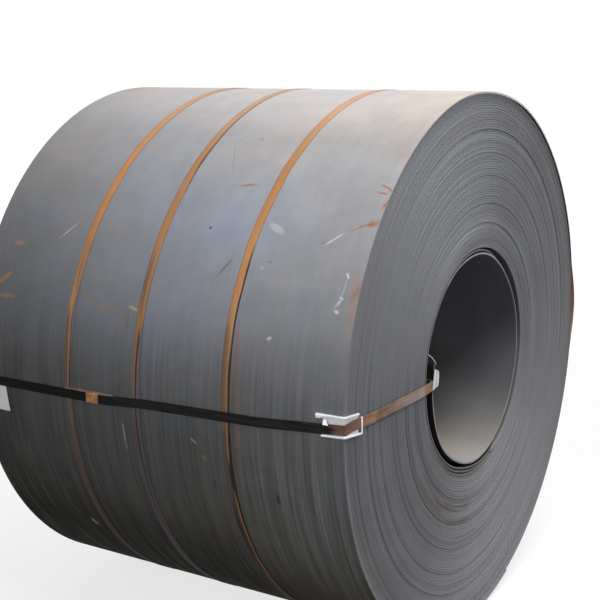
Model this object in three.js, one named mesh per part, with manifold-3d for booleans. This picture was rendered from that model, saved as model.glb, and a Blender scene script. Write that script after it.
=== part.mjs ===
// Hot-rolled steel coil, banded for transport and lying with its eye level.
// Millimetres, +Z up. The coil's axis runs along X, its front end looks to +X and the
// eye band runs down the -Y side. Pieces are made about the axis, and the whole model is
// then moved so that its origin is the middle of the underside of its box.

import * as THREE from 'three';
import { mergeVertices } from 'three/addons/utils/BufferGeometryUtils.js';
import Module from 'manifold-3d';

const wasm = await Module();
wasm.setup();

// ---------------------------------------------------------------- driving dimensions

const STRIP_WIDTH = 1500;      // width of the strip, which is the length of the coil
const GAUGE = 8;               // thickness of the strip
const EYE_RADIUS = 381;        // inner face of the innermost lap, a 762 mm mandrel
const EYE_RISE = 13;           // the loose innermost lap has sprung up by this much
const GROOVE_DEPTH = 80;       // how far in from each end the gap under that lap stays open
const TURN_SEGMENTS = 72;      // facets round the coil, a multiple of 4

// Tight laps from the eye outward, as groups that moved together sideways in the roll.
// Each group is [number of laps, setback of their edges from the end plane in strip gauges].
const LAP_GROUPS = [
  [2, 1.75], [9, 0.1], [2, 0.75], [8, 0], [1, 0.75], [10, 0.1], [2, 0.6], [9, 0],
  [1, 0.6], [8, 0.1], [2, 0.75], [8, 0], [2, 0.5], [5, 0.25], [1, 0],
];

// At the front end the edge of the outermost lap has sprung away from the coil.
const SPRUNG_LIFT = 28;        // how far it stands off at its highest
const SPRUNG_REACH = 340;      // how far along the coil the lift runs out
const SPRUNG_FROM = -9;        // degrees above level on the +Y side where the lift starts
const SPRUNG_TO = 17;          // and where it ends
const SPRUNG_STEPS = 6;        // facets along the lift

const CLEARANCE = 0.3;         // seat gap between pieces that touch

const STRAP_WIDTH = 32;
const STRAP_THICKNESS = 1.3;
const CORNER_STEPS = 5;        // facets where a strap or sheet turns a corner
const BELLY_FRONT = 418;       // middle of each belly band, from the front end plane
const BELLY_MIDDLE = 773;
const BELLY_BACK = 1064;
const BELLY_SEAL_ANGLE = 60;   // degrees past the top, on the +Y side
// The belly bands lean a little, as [degrees from level on the +Y side round over the top, shift to the front].
const BELLY_LEAN = [
  [45, 0], [100, 27], [112, 25], [122, 20], [134, 12], [150, 1], [165, -7], [200, -9], [235, -7], [260, 0],
];
const BELLY_LEAN_SHARE = { front: 1, middle: 0.8, back: 0.9 };
const EYE_BAND_HEIGHT = 8;     // the eye band above the coil's axis, in the eye and down the front end
// The band's course along the outside, as [distance from the front end plane, height above the axis].
const EYE_BAND_COURSE = [[0, EYE_BAND_HEIGHT], [300, -14], [750, -25], [910, -37], [STRIP_WIDTH, -38]];

const SEAL_LENGTH = 52;
const SEAL_WALL = 1.2;
const EYE_SEAL_SETBACK = 965;  // the eye band's seal, from the front end plane

const GUARD_SHEET = 1.6;       // galvanised sheet of the edge protectors
const GUARD_RIB = 7;           // height of the turned-up side flanges
const OUTER_GUARD_WIDTH = 66;
const OUTER_GUARD_RISE = 3;    // how far an outer protector's middle stands above the strap's
const FRONT_GUARD_LEG = 116;   // leg of the front outer protector along the outside of the coil
const BACK_GUARD_LEG = 95;     // the same leg of the back one, which sits further round the corner
const OUTER_GUARD_FACE = 106;  // leg of an outer protector on the end face
const EYE_GUARD_WIDTH = 110;
const EYE_GUARD_RISE = 33;     // how far an eye protector's middle stands above the strap's
const EYE_GUARD_LEG = 84;      // leg of an eye protector along the wall of the eye
const EYE_GUARD_FACE = 18;     // leg of an eye protector on the end face
const KEEPER_LENGTH = 7;       // bridge over the strap at the tip of an outer protector's face leg
const KEEPER_WALL = 1.6;
const KEEPER_ROOM = 1;         // room that the bridge leaves beside the strap

const LABEL_WIDTH = 38;
const LABEL_HEIGHT = 118;
const LABEL_THICKNESS = 0.8;
const LABEL_GAP = 5;           // from the label to the protector at the back
const LABEL_TUCK = 14;         // how much of the label is held behind the eye band

// ---------------------------------------------------------------- derived sizes

const HALF = STRIP_WIDTH / 2;
// A facet's middle lies nearer the axis than its corners by this factor.
const FLAT = Math.cos(Math.PI / TURN_SEGMENTS);
const tightLaps = LAP_GROUPS.reduce((sum, [laps]) => sum + laps, 0);
const LAP_OUTER = EYE_RADIUS + GAUGE;
const TIGHT_BORE = LAP_OUTER + EYE_RISE;
const COIL_RADIUS = TIGHT_BORE + tightLaps * GAUGE;
const BELLY_BANDS = { front: BELLY_FRONT, middle: BELLY_MIDDLE, back: BELLY_BACK };
const BELLY_INNER = COIL_RADIUS + CLEARANCE;
const BELLY_OUTER = BELLY_INNER + STRAP_THICKNESS;

// ---------------------------------------------------------------- materials

const materials = {
  steel: new THREE.MeshStandardMaterial({ color: 0x6b6c70, roughness: 0.6, metalness: 0.7 }),
  rustyStrap: new THREE.MeshStandardMaterial({ color: 0xa5683a, roughness: 0.8, metalness: 0.3 }),
  blackStrap: new THREE.MeshStandardMaterial({ color: 0x1d1c20, roughness: 0.5, metalness: 0.3 }),
  zinc: new THREE.MeshStandardMaterial({ color: 0xc3c8cb, roughness: 0.35, metalness: 0.9 }),
  label: new THREE.MeshStandardMaterial({ color: 0xe8e8e6, roughness: 0.7, metalness: 0.0 }),
};

// ---------------------------------------------------------------- helpers

/** A mesh geometry as a solid that can be joined and cut. */
function toSolid(geometry) {
  const bare = geometry.clone();
  bare.deleteAttribute('normal');
  bare.deleteAttribute('uv');
  const merged = mergeVertices(bare, 1e-4);
  return new wasm.Manifold(new wasm.Mesh({
    numProp: 3,
    vertProperties: new Float32Array(merged.attributes.position.array),
    triVerts: new Uint32Array(merged.index.array),
  }));
}

/** A solid back as a mesh geometry. */
function toGeometry(solid) {
  const mesh = solid.getMesh();
  const geometry = new THREE.BufferGeometry();
  geometry.setAttribute('position', new THREE.BufferAttribute(new Float32Array(mesh.vertProperties), 3));
  geometry.setIndex(new THREE.BufferAttribute(new Uint32Array(mesh.triVerts), 1));
  geometry.computeVertexNormals();
  return geometry;
}

/**
 * A ring turned about the X axis from a closed profile of [x, radius] corners.
 * A facet, not a corner, lies at the bottom.
 */
function turned(corners, segments = TURN_SEGMENTS) {
  const area = corners.reduce((sum, [x, r], i) => {
    const [nextX, nextR] = corners[(i + 1) % corners.length];
    return sum + (x * nextR - nextX * r);
  }, 0);
  const ordered = area < 0 ? corners : [...corners].reverse();
  const profile = [...ordered, ordered[0]].map(([x, r]) => new THREE.Vector2(r, x));
  const geometry = new THREE.LatheGeometry(profile, segments, Math.PI / segments);
  geometry.rotateZ(-Math.PI / 2);
  return geometry;
}

/** A plain ring between two radii, from x0 to x1. */
function ring(inner, outer, x0, x1, segments = TURN_SEGMENTS) {
  return turned([[x0, inner], [x1, inner], [x1, outer], [x0, outer]], segments);
}

/** A round bar of the given radius about the X axis, from x0 to x1. */
function bar(radius, x0, x1, segments = TURN_SEGMENTS) {
  const geometry = new THREE.CylinderGeometry(radius, radius, x1 - x0, segments, 1, false, Math.PI / segments);
  geometry.rotateZ(-Math.PI / 2);
  geometry.translate((x0 + x1) / 2, 0, 0);
  return geometry;
}

const model = new THREE.Group();

/** Adds one named piece, given about the coil's axis, to the model. */
function addPiece(name, geometry, material) {
  const mesh = new THREE.Mesh(geometry, material);
  mesh.name = name;
  model.add(mesh);
}

// ---------------------------------------------------------------- coil

/** One end's stepped outline, from the bore outward, as [distance back, radius] corners. */
function endSteps() {
  const corners = [];
  let radius = TIGHT_BORE;
  for (const [laps, gauges] of LAP_GROUPS) {
    const setback = gauges * GAUGE;
    corners.push([setback, radius]);
    radius += laps * GAUGE;
    corners.push([setback, radius]);
  }
  return corners;
}

/** The stretch of the outermost lap that has sprung, lifted most at its front edge. */
function sprungLap() {
  const from = THREE.MathUtils.degToRad(SPRUNG_FROM);
  const sweep = THREE.MathUtils.degToRad(SPRUNG_TO - SPRUNG_FROM);
  const geometry = new THREE.BoxGeometry(SPRUNG_REACH, GAUGE, sweep, SPRUNG_STEPS, 1, 2 * SPRUNG_STEPS);
  const corners = geometry.attributes.position;
  for (let i = 0; i < corners.count; i += 1) {
    const along = corners.getX(i) / SPRUNG_REACH + 0.5;
    const round = corners.getZ(i) / sweep + 0.5;
    const lift = SPRUNG_LIFT * Math.sin(Math.PI * round) ** 2 * along ** 2;
    const radius = COIL_RADIUS * FLAT - GAUGE / 2 + corners.getY(i) + lift;
    const angle = from + sweep * round;
    const x = HALF + (along - 1) * SPRUNG_REACH;
    corners.setXYZ(i, x, radius * Math.cos(angle), radius * Math.sin(angle));
  }
  return geometry;
}

/** The wound coil: stepped laps, the loose innermost lap and the eye. */
function coilGeometry() {
  const steps = endSteps();
  const front = steps.map(([back, radius]) => [HALF - back, radius]);
  const rear = steps.map(([back, radius]) => [back - HALF, radius]).reverse();
  const laps = toSolid(turned([...front, ...rear]));
  const core = toSolid(bar(TIGHT_BORE + GAUGE, GROOVE_DEPTH - HALF, HALF - GROOVE_DEPTH));
  const lapTube = toSolid(bar(LAP_OUTER, -HALF, HALF)).translate([0, 0, EYE_RISE]);
  const eye = toSolid(bar(EYE_RADIUS, -HALF - GAUGE, HALF + GAUGE)).translate([0, 0, EYE_RISE]);
  return toGeometry(laps.add(core).add(lapTube).add(toSolid(sprungLap())).subtract(eye));
}

addPiece('coil', coilGeometry(), materials.steel);

// ---------------------------------------------------------------- belly bands

/** How far a belly band has shifted to the front at an angle in degrees. */
function bellyLean(angle) {
  const next = BELLY_LEAN.findIndex(([knot]) => knot >= angle);
  if (next < 1) {
    return 0;
  }
  const [from, low] = BELLY_LEAN[next - 1];
  const [to, high] = BELLY_LEAN[next];
  return low + (high - low) * (angle - from) / (to - from);
}

for (const [name, setback] of Object.entries(BELLY_BANDS)) {
  const middle = HALF - setback;
  const band = ring(BELLY_INNER, BELLY_OUTER, middle - STRAP_WIDTH / 2, middle + STRAP_WIDTH / 2);
  const corners = band.attributes.position;
  for (let i = 0; i < corners.count; i += 1) {
    const angle = THREE.MathUtils.radToDeg(Math.atan2(corners.getZ(i), corners.getY(i)));
    const shift = BELLY_LEAN_SHARE[name] * bellyLean(THREE.MathUtils.euclideanModulo(angle, 360));
    corners.setX(i, corners.getX(i) + shift);
  }
  band.computeVertexNormals();
  addPiece(`belly_band_${name}`, band, materials.rustyStrap);
}

// ---------------------------------------------------------------- eye band

// A facet lies square to the -Y side, so what rests there sits on its flat.
const SIDE = COIL_RADIUS * FLAT;
const eyeGuardHeight = EYE_BAND_HEIGHT + EYE_GUARD_RISE;
// The wall of the eye curves in behind the protector, which rests on it by its further edge.
const eyeGuardReach = Math.abs(eyeGuardHeight - EYE_RISE) + EYE_GUARD_WIDTH / 2;
const EYE_WALL = Math.sqrt((EYE_RADIUS * FLAT) ** 2 - eyeGuardReach ** 2);
const STRAP_SEAT = CLEARANCE + GUARD_SHEET + CLEARANCE;

/** How high above the axis the band runs along the outside of the coil at x. */
function courseHeight(x) {
  const back = THREE.MathUtils.clamp(HALF - x, 0, STRIP_WIDTH);
  const next = Math.max(1, EYE_BAND_COURSE.findIndex(([distance]) => distance >= back));
  const [from, low] = EYE_BAND_COURSE[next - 1];
  const [to, high] = EYE_BAND_COURSE[next];
  return low + (high - low) * (back - from) / (to - from);
}

/** How high above the axis the band runs at a point of its loop. */
function bandHeight(x, y) {
  const outward = THREE.MathUtils.clamp((-EYE_WALL - y) / (SIDE - EYE_WALL), 0, 1);
  return EYE_BAND_HEIGHT + outward * (courseHeight(x) - EYE_BAND_HEIGHT);
}

/** Moves a geometry made at the level of the axis up or down with the band's course. */
function followBand(geometry) {
  const corners = geometry.attributes.position;
  for (let i = 0; i < corners.count; i += 1) {
    corners.setZ(i, corners.getZ(i) + bandHeight(corners.getX(i), corners.getY(i)));
  }
  geometry.computeVertexNormals();
  return geometry;
}

/** Follows a corner at the origin at a distance, from leg -X round to leg +Y, as a shape. */
function cornerShape(near, far, legX, legY) {
  const shape = new THREE.Shape();
  shape.moveTo(-legX, -far);
  shape.lineTo(0, -far);
  shape.absarc(0, 0, far, -Math.PI / 2, 0, false);
  shape.lineTo(far, legY);
  shape.lineTo(near, legY);
  shape.lineTo(near, 0);
  shape.absarc(0, 0, near, 0, -Math.PI / 2, true);
  shape.lineTo(-legX, -near);
  return shape;
}

/** A shape in X and Y raised from z0 to z1. */
function raised(shape, z0, z1) {
  const geometry = new THREE.ExtrudeGeometry(shape, { depth: z1 - z0, bevelEnabled: false, curveSegments: CORNER_STEPS });
  geometry.translate(0, 0, z0);
  return geometry;
}

/** Stations round the wound steel between the outside and the eye, each with the way that faces out. */
function loopStations() {
  const stations = [];
  const roundCorner = (x, y, from) => {
    for (let i = 0; i <= CORNER_STEPS; i += 1) {
      const angle = THREE.MathUtils.degToRad(from + (90 * i) / CORNER_STEPS);
      stations.push({ x, y, outX: Math.cos(angle), outY: Math.sin(angle) });
    }
  };
  for (const [back] of EYE_BAND_COURSE.slice(1, -1).reverse()) {
    stations.push({ x: HALF - back, y: -SIDE, outX: 0, outY: -1 });
  }
  roundCorner(HALF, -SIDE, -90);
  roundCorner(HALF, -EYE_WALL, 0);
  roundCorner(-HALF, -EYE_WALL, 90);
  roundCorner(-HALF, -SIDE, 180);
  return stations;
}

/**
 * The band through the eye: down the outside, over both ends and back through the eye.
 * A flat ring with one corner for each station is laid round the loop.
 */
function eyeBandGeometry() {
  const stations = loopStations();
  const step = (2 * Math.PI) / stations.length;
  const first = Math.PI / 2 + step / 2;
  const outside = STRAP_SEAT + STRAP_THICKNESS;
  const geometry = ring(STRAP_SEAT, outside, -STRAP_WIDTH / 2, STRAP_WIDTH / 2, stations.length);
  const corners = geometry.attributes.position;
  for (let i = 0; i < corners.count; i += 1) {
    const distance = Math.hypot(corners.getY(i), corners.getZ(i));
    const turn = Math.atan2(corners.getZ(i), corners.getY(i)) - first;
    const { x, y, outX, outY } = stations.at(Math.round(turn / step) % stations.length);
    corners.setXYZ(i, x + outX * distance, y + outY * distance, corners.getX(i));
  }
  return followBand(geometry);
}

addPiece('eye_band', eyeBandGeometry(), materials.blackStrap);

// ---------------------------------------------------------------- edge protectors

/** A formed sheet over a corner at the origin: two legs with turned-up side flanges. */
function guardSheet(legX, legY, width) {
  const near = CLEARANCE;
  const sheet = cornerShape(near, near + GUARD_SHEET, legX, legY);
  const flange = cornerShape(near, near + GUARD_RIB, legX, legY);
  return toSolid(raised(sheet, -width / 2, width / 2))
    .add(toSolid(raised(flange, -width / 2, GUARD_SHEET - width / 2)))
    .add(toSolid(raised(flange, width / 2 - GUARD_SHEET, width / 2)));
}

/**
 * The bridge that keeps the strap on the tip of an outer protector's face leg.
 * end is 1 at the front of the coil and -1 at the back.
 */
function keeper(end) {
  const base = CLEARANCE + GUARD_SHEET / 2;
  const inside = STRAP_SEAT + STRAP_THICKNESS + CLEARANCE;
  const halfTunnel = STRAP_WIDTH / 2 + KEEPER_ROOM;
  const alongFace = OUTER_GUARD_FACE - KEEPER_LENGTH / 2;
  const block = new THREE.BoxGeometry(inside + KEEPER_WALL - base, KEEPER_LENGTH, 2 * (halfTunnel + KEEPER_WALL));
  block.translate((inside + KEEPER_WALL + base) / 2, alongFace, 0);
  const tunnel = new THREE.BoxGeometry(inside, KEEPER_LENGTH * 2, 2 * halfTunnel);
  tunnel.translate(inside / 2 + CLEARANCE + GUARD_SHEET, alongFace, 0);
  return toSolid(block).subtract(toSolid(tunnel))
    .translate([HALF, -SIDE, bandHeight(end * HALF, alongFace - SIDE)]);
}

/** The protector over the coil's outer corner, made at the front and mirrored to its own end. */
function outerGuard(end) {
  const leg = end > 0 ? FRONT_GUARD_LEG : BACK_GUARD_LEG;
  const sheet = guardSheet(leg, OUTER_GUARD_FACE, OUTER_GUARD_WIDTH)
    .translate([HALF, -SIDE, bandHeight(end * HALF, -SIDE) + OUTER_GUARD_RISE]);
  const whole = sheet.add(keeper(end));
  return toGeometry(end > 0 ? whole : whole.mirror([1, 0, 0]));
}

/** The protector over the corner of the eye, made at the front and mirrored to its own end. */
function eyeGuard(end) {
  const sheet = guardSheet(EYE_GUARD_LEG, EYE_GUARD_FACE, EYE_GUARD_WIDTH)
    .mirror([0, 1, 0])
    .translate([HALF, -EYE_WALL, eyeGuardHeight]);
  return toGeometry(end > 0 ? sheet : sheet.mirror([1, 0, 0]));
}

addPiece('outer_guard_front', outerGuard(1), materials.zinc);
addPiece('outer_guard_back', outerGuard(-1), materials.zinc);
addPiece('eye_guard_front', eyeGuard(1), materials.zinc);
addPiece('eye_guard_back', eyeGuard(-1), materials.zinc);

// ---------------------------------------------------------------- seals

/** A seal saddled over a strap along Z whose back is at strapBack, with its feet at foot, in Y. */
function sealGeometry(strapBack, foot) {
  const crown = strapBack + STRAP_THICKNESS + CLEARANCE;
  const halfStrap = STRAP_WIDTH / 2 + CLEARANCE;
  const shape = new THREE.Shape();
  shape.moveTo(-halfStrap - SEAL_WALL, foot);
  shape.lineTo(-halfStrap, foot);
  shape.lineTo(-halfStrap, crown);
  shape.lineTo(halfStrap, crown);
  shape.lineTo(halfStrap, foot);
  shape.lineTo(halfStrap + SEAL_WALL, foot);
  shape.lineTo(halfStrap + SEAL_WALL, crown + SEAL_WALL);
  shape.lineTo(-halfStrap - SEAL_WALL, crown + SEAL_WALL);
  const geometry = new THREE.ExtrudeGeometry(shape, { depth: SEAL_LENGTH, bevelEnabled: false });
  geometry.translate(0, 0, -SEAL_LENGTH / 2);
  return geometry;
}

/** The seal on the outer run of the eye band, its feet clear of the belly bands. */
function eyeSeal() {
  const geometry = sealGeometry(STRAP_SEAT, STRAP_THICKNESS + 2 * CLEARANCE);
  geometry.rotateY(Math.PI / 2);
  geometry.rotateX(Math.PI);
  geometry.translate(HALF - EYE_SEAL_SETBACK, -SIDE, 0);
  return followBand(geometry);
}

/** The seal of a belly band whose middle stands at x, on the facet nearest the seal's angle. */
function bellySeal(x) {
  const facet = 2 * Math.PI / TURN_SEGMENTS;
  const angle = Math.round(THREE.MathUtils.degToRad(BELLY_SEAL_ANGLE) / facet) * facet;
  const geometry = sealGeometry(CLEARANCE, CLEARANCE);
  geometry.translate(0, SIDE, 0);
  geometry.rotateX(Math.PI / 2 - angle);
  geometry.translate(x, 0, 0);
  return geometry;
}

addPiece('eye_band_seal', eyeSeal(), materials.rustyStrap);
for (const [name, setback] of Object.entries(BELLY_BANDS)) {
  addPiece(`belly_seal_${name}`, bellySeal(HALF - setback), materials.rustyStrap);
}

// ---------------------------------------------------------------- label

/** The blank label, its top held behind the eye band. */
function labelGeometry() {
  const geometry = new THREE.BoxGeometry(LABEL_WIDTH, LABEL_THICKNESS, LABEL_HEIGHT);
  const x = -HALF + BACK_GUARD_LEG + LABEL_GAP + LABEL_WIDTH / 2;
  const strapLow = courseHeight(x) - STRAP_WIDTH / 2;
  geometry.translate(
    x,
    -SIDE - CLEARANCE - LABEL_THICKNESS / 2,
    strapLow + LABEL_TUCK - LABEL_HEIGHT / 2,
  );
  return geometry;
}

addPiece('label', labelGeometry(), materials.label);

// ---------------------------------------------------------------- origin

// The origin is the middle of the underside of the box round the whole coil.
const box = new THREE.Box3().setFromObject(model);
const middle = box.getCenter(new THREE.Vector3());
model.position.set(-middle.x, -middle.y, -box.min.z);
model.updateMatrixWorld(true);

export default model;
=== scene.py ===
"""Looks of a banded steel coil: the wound laps, its straps, seals, edge protectors and label.

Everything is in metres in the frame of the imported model: the coil's axis runs along X, its
front end looks to +X, the band through the eye runs down the -Y side and +Z is up.
Angles round the coil are measured about +X from the +Y side towards the top.
"""

import logging
import math
from bisect import bisect_right
from collections.abc import Callable, Iterable, Sequence
from dataclasses import dataclass
from enum import Enum, IntEnum

import bmesh
import bpy
from mathutils import Matrix, Vector, noise


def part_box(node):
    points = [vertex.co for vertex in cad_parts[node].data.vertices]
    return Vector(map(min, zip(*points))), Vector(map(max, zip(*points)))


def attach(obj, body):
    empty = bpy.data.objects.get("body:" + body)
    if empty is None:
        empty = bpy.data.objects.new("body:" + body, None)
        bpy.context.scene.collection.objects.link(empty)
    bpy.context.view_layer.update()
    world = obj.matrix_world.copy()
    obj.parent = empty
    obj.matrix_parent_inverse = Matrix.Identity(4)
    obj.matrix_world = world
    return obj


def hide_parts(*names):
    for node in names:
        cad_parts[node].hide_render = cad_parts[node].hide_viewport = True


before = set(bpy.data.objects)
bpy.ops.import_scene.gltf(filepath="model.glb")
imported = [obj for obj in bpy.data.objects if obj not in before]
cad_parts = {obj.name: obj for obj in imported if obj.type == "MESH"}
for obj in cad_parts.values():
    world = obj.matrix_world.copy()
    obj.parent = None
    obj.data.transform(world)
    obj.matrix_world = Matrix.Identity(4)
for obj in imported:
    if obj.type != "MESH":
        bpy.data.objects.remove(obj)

log = logging.getLogger("coil")

Colour = tuple[float, float, float]
Place = Callable[[int, int], Vector]
Knots = Sequence[tuple[float, float]]
Corner = tuple[bmesh.types.BMVert, int, int]

BODY = "root"
MM = 0.001
HALF_LENGTH = 0.75  # half the width of the strip, which is the coil's length
COIL_RADIUS = 0.96108  # middle of the facets of the outermost lap
BAND_RADIUS = 0.9625  # outside of the coil's straps
MARK_RADIUS = 0.961  # radius at which the marks on the outside are measured
GAUGE = 0.008  # thickness of the strip
STRAP_THICKNESS = 0.0013
SHEET = 0.0016  # thickness of the edge protectors
FULL_TURN = 360
WELD = 1e-6  # corners nearer than this become one


def smooth(edge0: float, edge1: float, value: float) -> float:
    """Eases from 0 at edge0 to 1 at edge1.

    Args:
        edge0: Where the result is 0.
        edge1: Where the result is 1.
        value: The number to ease.

    Returns:
        A number from 0 to 1.
    """
    t = min(1.0, max(0.0, (value - edge0) / (edge1 - edge0)))
    return t * t * (3 - 2 * t)


def between(knots: Knots, value: float) -> float:
    """Reads a rising list of knots, with eased steps between them.

    Args:
        knots: Pairs of position and reading, in order of position.
        value: The position to read.

    Returns:
        The reading at that position.
    """
    if value <= knots[0][0]:
        return knots[0][1]
    for (low, start), (high, end) in zip(knots, knots[1:]):
        if value <= high:
            return start + (end - start) * smooth(low, high, value)
    return knots[-1][1]


def ramp(knots: Knots, value: float) -> float:
    """Reads a rising list of knots along straight lines, the outer two running on beyond it.

    Args:
        knots: Pairs of position and reading, in order of position.
        value: The position to read.

    Returns:
        The reading at that position.
    """
    for (near, start), (far, end) in zip(knots, knots[1:]):
        if value <= far:
            break
    return start + (end - start) * (value - near) / (far - near)


def curve(knots: Knots, value: float) -> float:
    """Runs a smooth curve through knots.

    Args:
        knots: Pairs of an input and its output, in rising order.
        value: Input.

    Returns:
        The curve's height there, held past both ends.
    """
    places = [knot[0] for knot in knots]
    at = max(0, min(len(knots) - 2, bisect_right(places, value) - 1))
    slopes = []
    for here in (at, at + 1):
        low, high = knots[max(0, here - 1)], knots[min(len(knots) - 1, here + 1)]
        slopes.append((high[1] - low[1]) / (high[0] - low[0]))
    span = places[at + 1] - places[at]
    t = min(1.0, max(0.0, (value - places[at]) / span))
    return ((2 * t ** 3 - 3 * t * t + 1) * knots[at][1] + (t ** 3 - 2 * t * t + t) * span * slopes[0]
            + (3 * t * t - 2 * t ** 3) * knots[at + 1][1] + (t ** 3 - t * t) * span * slopes[1])


def add_object(name: str, data: bpy.types.ID) -> bpy.types.Object:
    """Puts a new object with that data into the scene."""
    thing = bpy.data.objects.new(name, data)
    bpy.context.scene.collection.objects.link(thing)
    return thing


def face_along(thing: bpy.types.Object, way: Vector, front: str) -> None:
    """Turns an object so that its front axis looks along a way, with Y up."""
    thing.rotation_mode = "QUATERNION"
    thing.rotation_quaternion = way.to_track_quat(front, "Y")


# ---------------------------------------------------------------- the coil's own frame


@dataclass(frozen=True)
class CoilAxis:
    """Where the coil's axis lies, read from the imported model."""

    y: float
    z: float

    @classmethod
    def from_frame(cls) -> "CoilAxis":
        """Finds the axis as the middle of a belly band's box."""
        low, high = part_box("belly_band_middle")
        return cls((low.y + high.y) / 2, (low.z + high.z) / 2)

    def point(self, x: float, radius: float, angle: float) -> Vector:
        """Gives the place at a distance along the axis, a radius and an angle.

        Args:
            x: Place along the axis.
            radius: Distance from the axis.
            angle: Radians from the +Y side towards the top.

        Returns:
            The point in the row frame.
        """
        return Vector((x, self.y + radius * math.cos(angle), self.z + radius * math.sin(angle)))

    def facing(self, face: bmesh.types.BMFace) -> tuple[Vector, float, float]:
        """Tells how a face lies to the axis.

        Args:
            face: The face.

        Returns:
            The way to its middle, with its place along the axis, its angle in degrees and how squarely
            it looks outward, from -1 to 1.
        """
        middle = face.calc_center_median()
        out = Vector((0.0, middle.y - self.y, middle.z - self.z))
        turn = math.degrees(math.atan2(out.z, out.y))
        return Vector((middle.x, out.y, out.z)), turn, face.normal.dot(out.normalized())


# ---------------------------------------------------------------- mesh helpers


class Piece:
    """A mesh under construction that becomes one named object of the coil."""

    def __init__(self, name: str) -> None:
        """Starts an empty piece.

        Args:
            name: Name of the finished object.
        """
        self.name = name
        self.bm = bmesh.new()

    def layer(self, name: str) -> bmesh.types.BMLayerItem:
        """Adds a reading that each corner holds for the shaders."""
        return self.bm.verts.layers.float.new(name)

    def rolled_grid(self, columns: int, rows: int, place: Place) -> list[Corner]:
        """Makes a grid and bends it into shape, corner by corner.

        Args:
            columns: Faces from side to side, the first count that place is given.
            rows: Faces from end to end, the second count.
            place: Gives the position of a corner from its column and row.

        Returns:
            The new vertices, each with its column and row.
        """
        made = bmesh.ops.create_grid(self.bm, x_segments=columns, y_segments=rows, size=1)["verts"]
        corners = [(vert, round((vert.co.x + 1) / 2 * columns), round((vert.co.y + 1) / 2 * rows)) for vert in made]
        for vert, column, row in corners:
            vert.co = place(column, row)
        return corners

    def close(self) -> None:
        """Welds the seams, fills what is still open and points the faces outward."""
        bmesh.ops.remove_doubles(self.bm, verts=self.bm.verts, dist=WELD)
        bmesh.ops.dissolve_degenerate(self.bm, edges=self.bm.edges, dist=WELD)
        rims = [edge for edge in self.bm.edges if edge.is_boundary]
        if rims:
            bmesh.ops.holes_fill(self.bm, edges=rims, sides=0)
        bmesh.ops.recalc_face_normals(self.bm, faces=self.bm.faces)

    def thicken(self, thickness: float, side: int) -> None:
        """Turns an open sheet into a solid one.

        Args:
            thickness: How thick it becomes.
            side: 1 where its outer side looks to +Y, and -1 where it looks to -Y.
        """
        bmesh.ops.recalc_face_normals(self.bm, faces=self.bm.faces)
        if side * sum(face.normal.y * face.calc_area() for face in self.bm.faces) < 0:
            bmesh.ops.reverse_faces(self.bm, faces=self.bm.faces)
        bmesh.ops.solidify(self.bm, geom=list(self.bm.faces), thickness=thickness)
        bmesh.ops.recalc_face_normals(self.bm, faces=self.bm.faces)

    def finish(self, finishes: Sequence[bpy.types.Material], slot: str, replaces: Iterable[str] = (),
               sharp: float = 35.0) -> bpy.types.Object:
        """Turns the mesh into an object that rides on the coil.

        Args:
            finishes: Materials in the order of their slots.
            slot: Not used.
            replaces: CAD nodes that this piece stands for.
            sharp: Degrees past which an edge isn't shaded smooth.

        Returns:
            The new object.
        """
        mesh = bpy.data.meshes.new(self.name)
        for face in self.bm.faces:
            face.smooth = True
        self.bm.to_mesh(mesh)
        triangles = sum(len(face.verts) - 2 for face in self.bm.faces)
        self.bm.free()
        mesh.set_sharp_from_angle(angle=math.radians(sharp))
        for finish in finishes:
            mesh.materials.append(finish)
        thing = add_object(self.name, mesh)
        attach(thing, BODY)
        if replaces:
            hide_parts(*replaces)
        log.info("%s: %d triangles", self.name, triangles)
        return thing


# ---------------------------------------------------------------- shader helpers


def maths(operation: str) -> "Callable[..., Channel]":
    """Makes a method of Channel out of one kind of Math node.

    Args:
        operation: The node's operation.

    Returns:
        The method, which takes what follows the channel itself.
    """
    def method(self: "Channel", *others: "Channel | float") -> "Channel":
        """Adds the node."""
        return self.book.node("ShaderNodeMath", {"operation": operation}, dict(enumerate((self, *others))))

    return method


class Channel:
    """A shader socket or number that can be worked on with Python's own operators."""

    __add__ = __radd__ = maths("ADD")
    __sub__ = maths("SUBTRACT")
    __mul__ = __rmul__ = maths("MULTIPLY")
    __truediv__ = maths("DIVIDE")
    __pow__ = maths("POWER")
    absolute = maths("ABSOLUTE")
    floor = maths("FLOOR")
    minimum = maths("MINIMUM")
    arc_tangent = maths("ARCTAN2")

    def __init__(self, book: "FinishBook", value: "bpy.types.NodeSocket | float") -> None:
        """Wraps a socket.

        Args:
            book: The finish that its nodes belong to.
            value: An output socket, or a plain number.
        """
        self.book = book
        self.value = value

    def __rsub__(self, other: float) -> "Channel":
        """Takes this from a number."""
        return Channel(self.book, other) - self

    def degrees_from(self, other: "Channel") -> "Channel":
        """Gives the angle in degrees whose sine goes with this channel and whose cosine with the other."""
        return self.arc_tangent(other) * (180 / math.pi)

    def ease(self, low: float, high: float) -> "Channel":
        """Eases from 0 to 1 as this channel goes from low to high."""
        return self.book.node("ShaderNodeMapRange", {"interpolation_type": "SMOOTHSTEP"},
                              {"Value": self, "From Min": low, "From Max": high})


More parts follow.
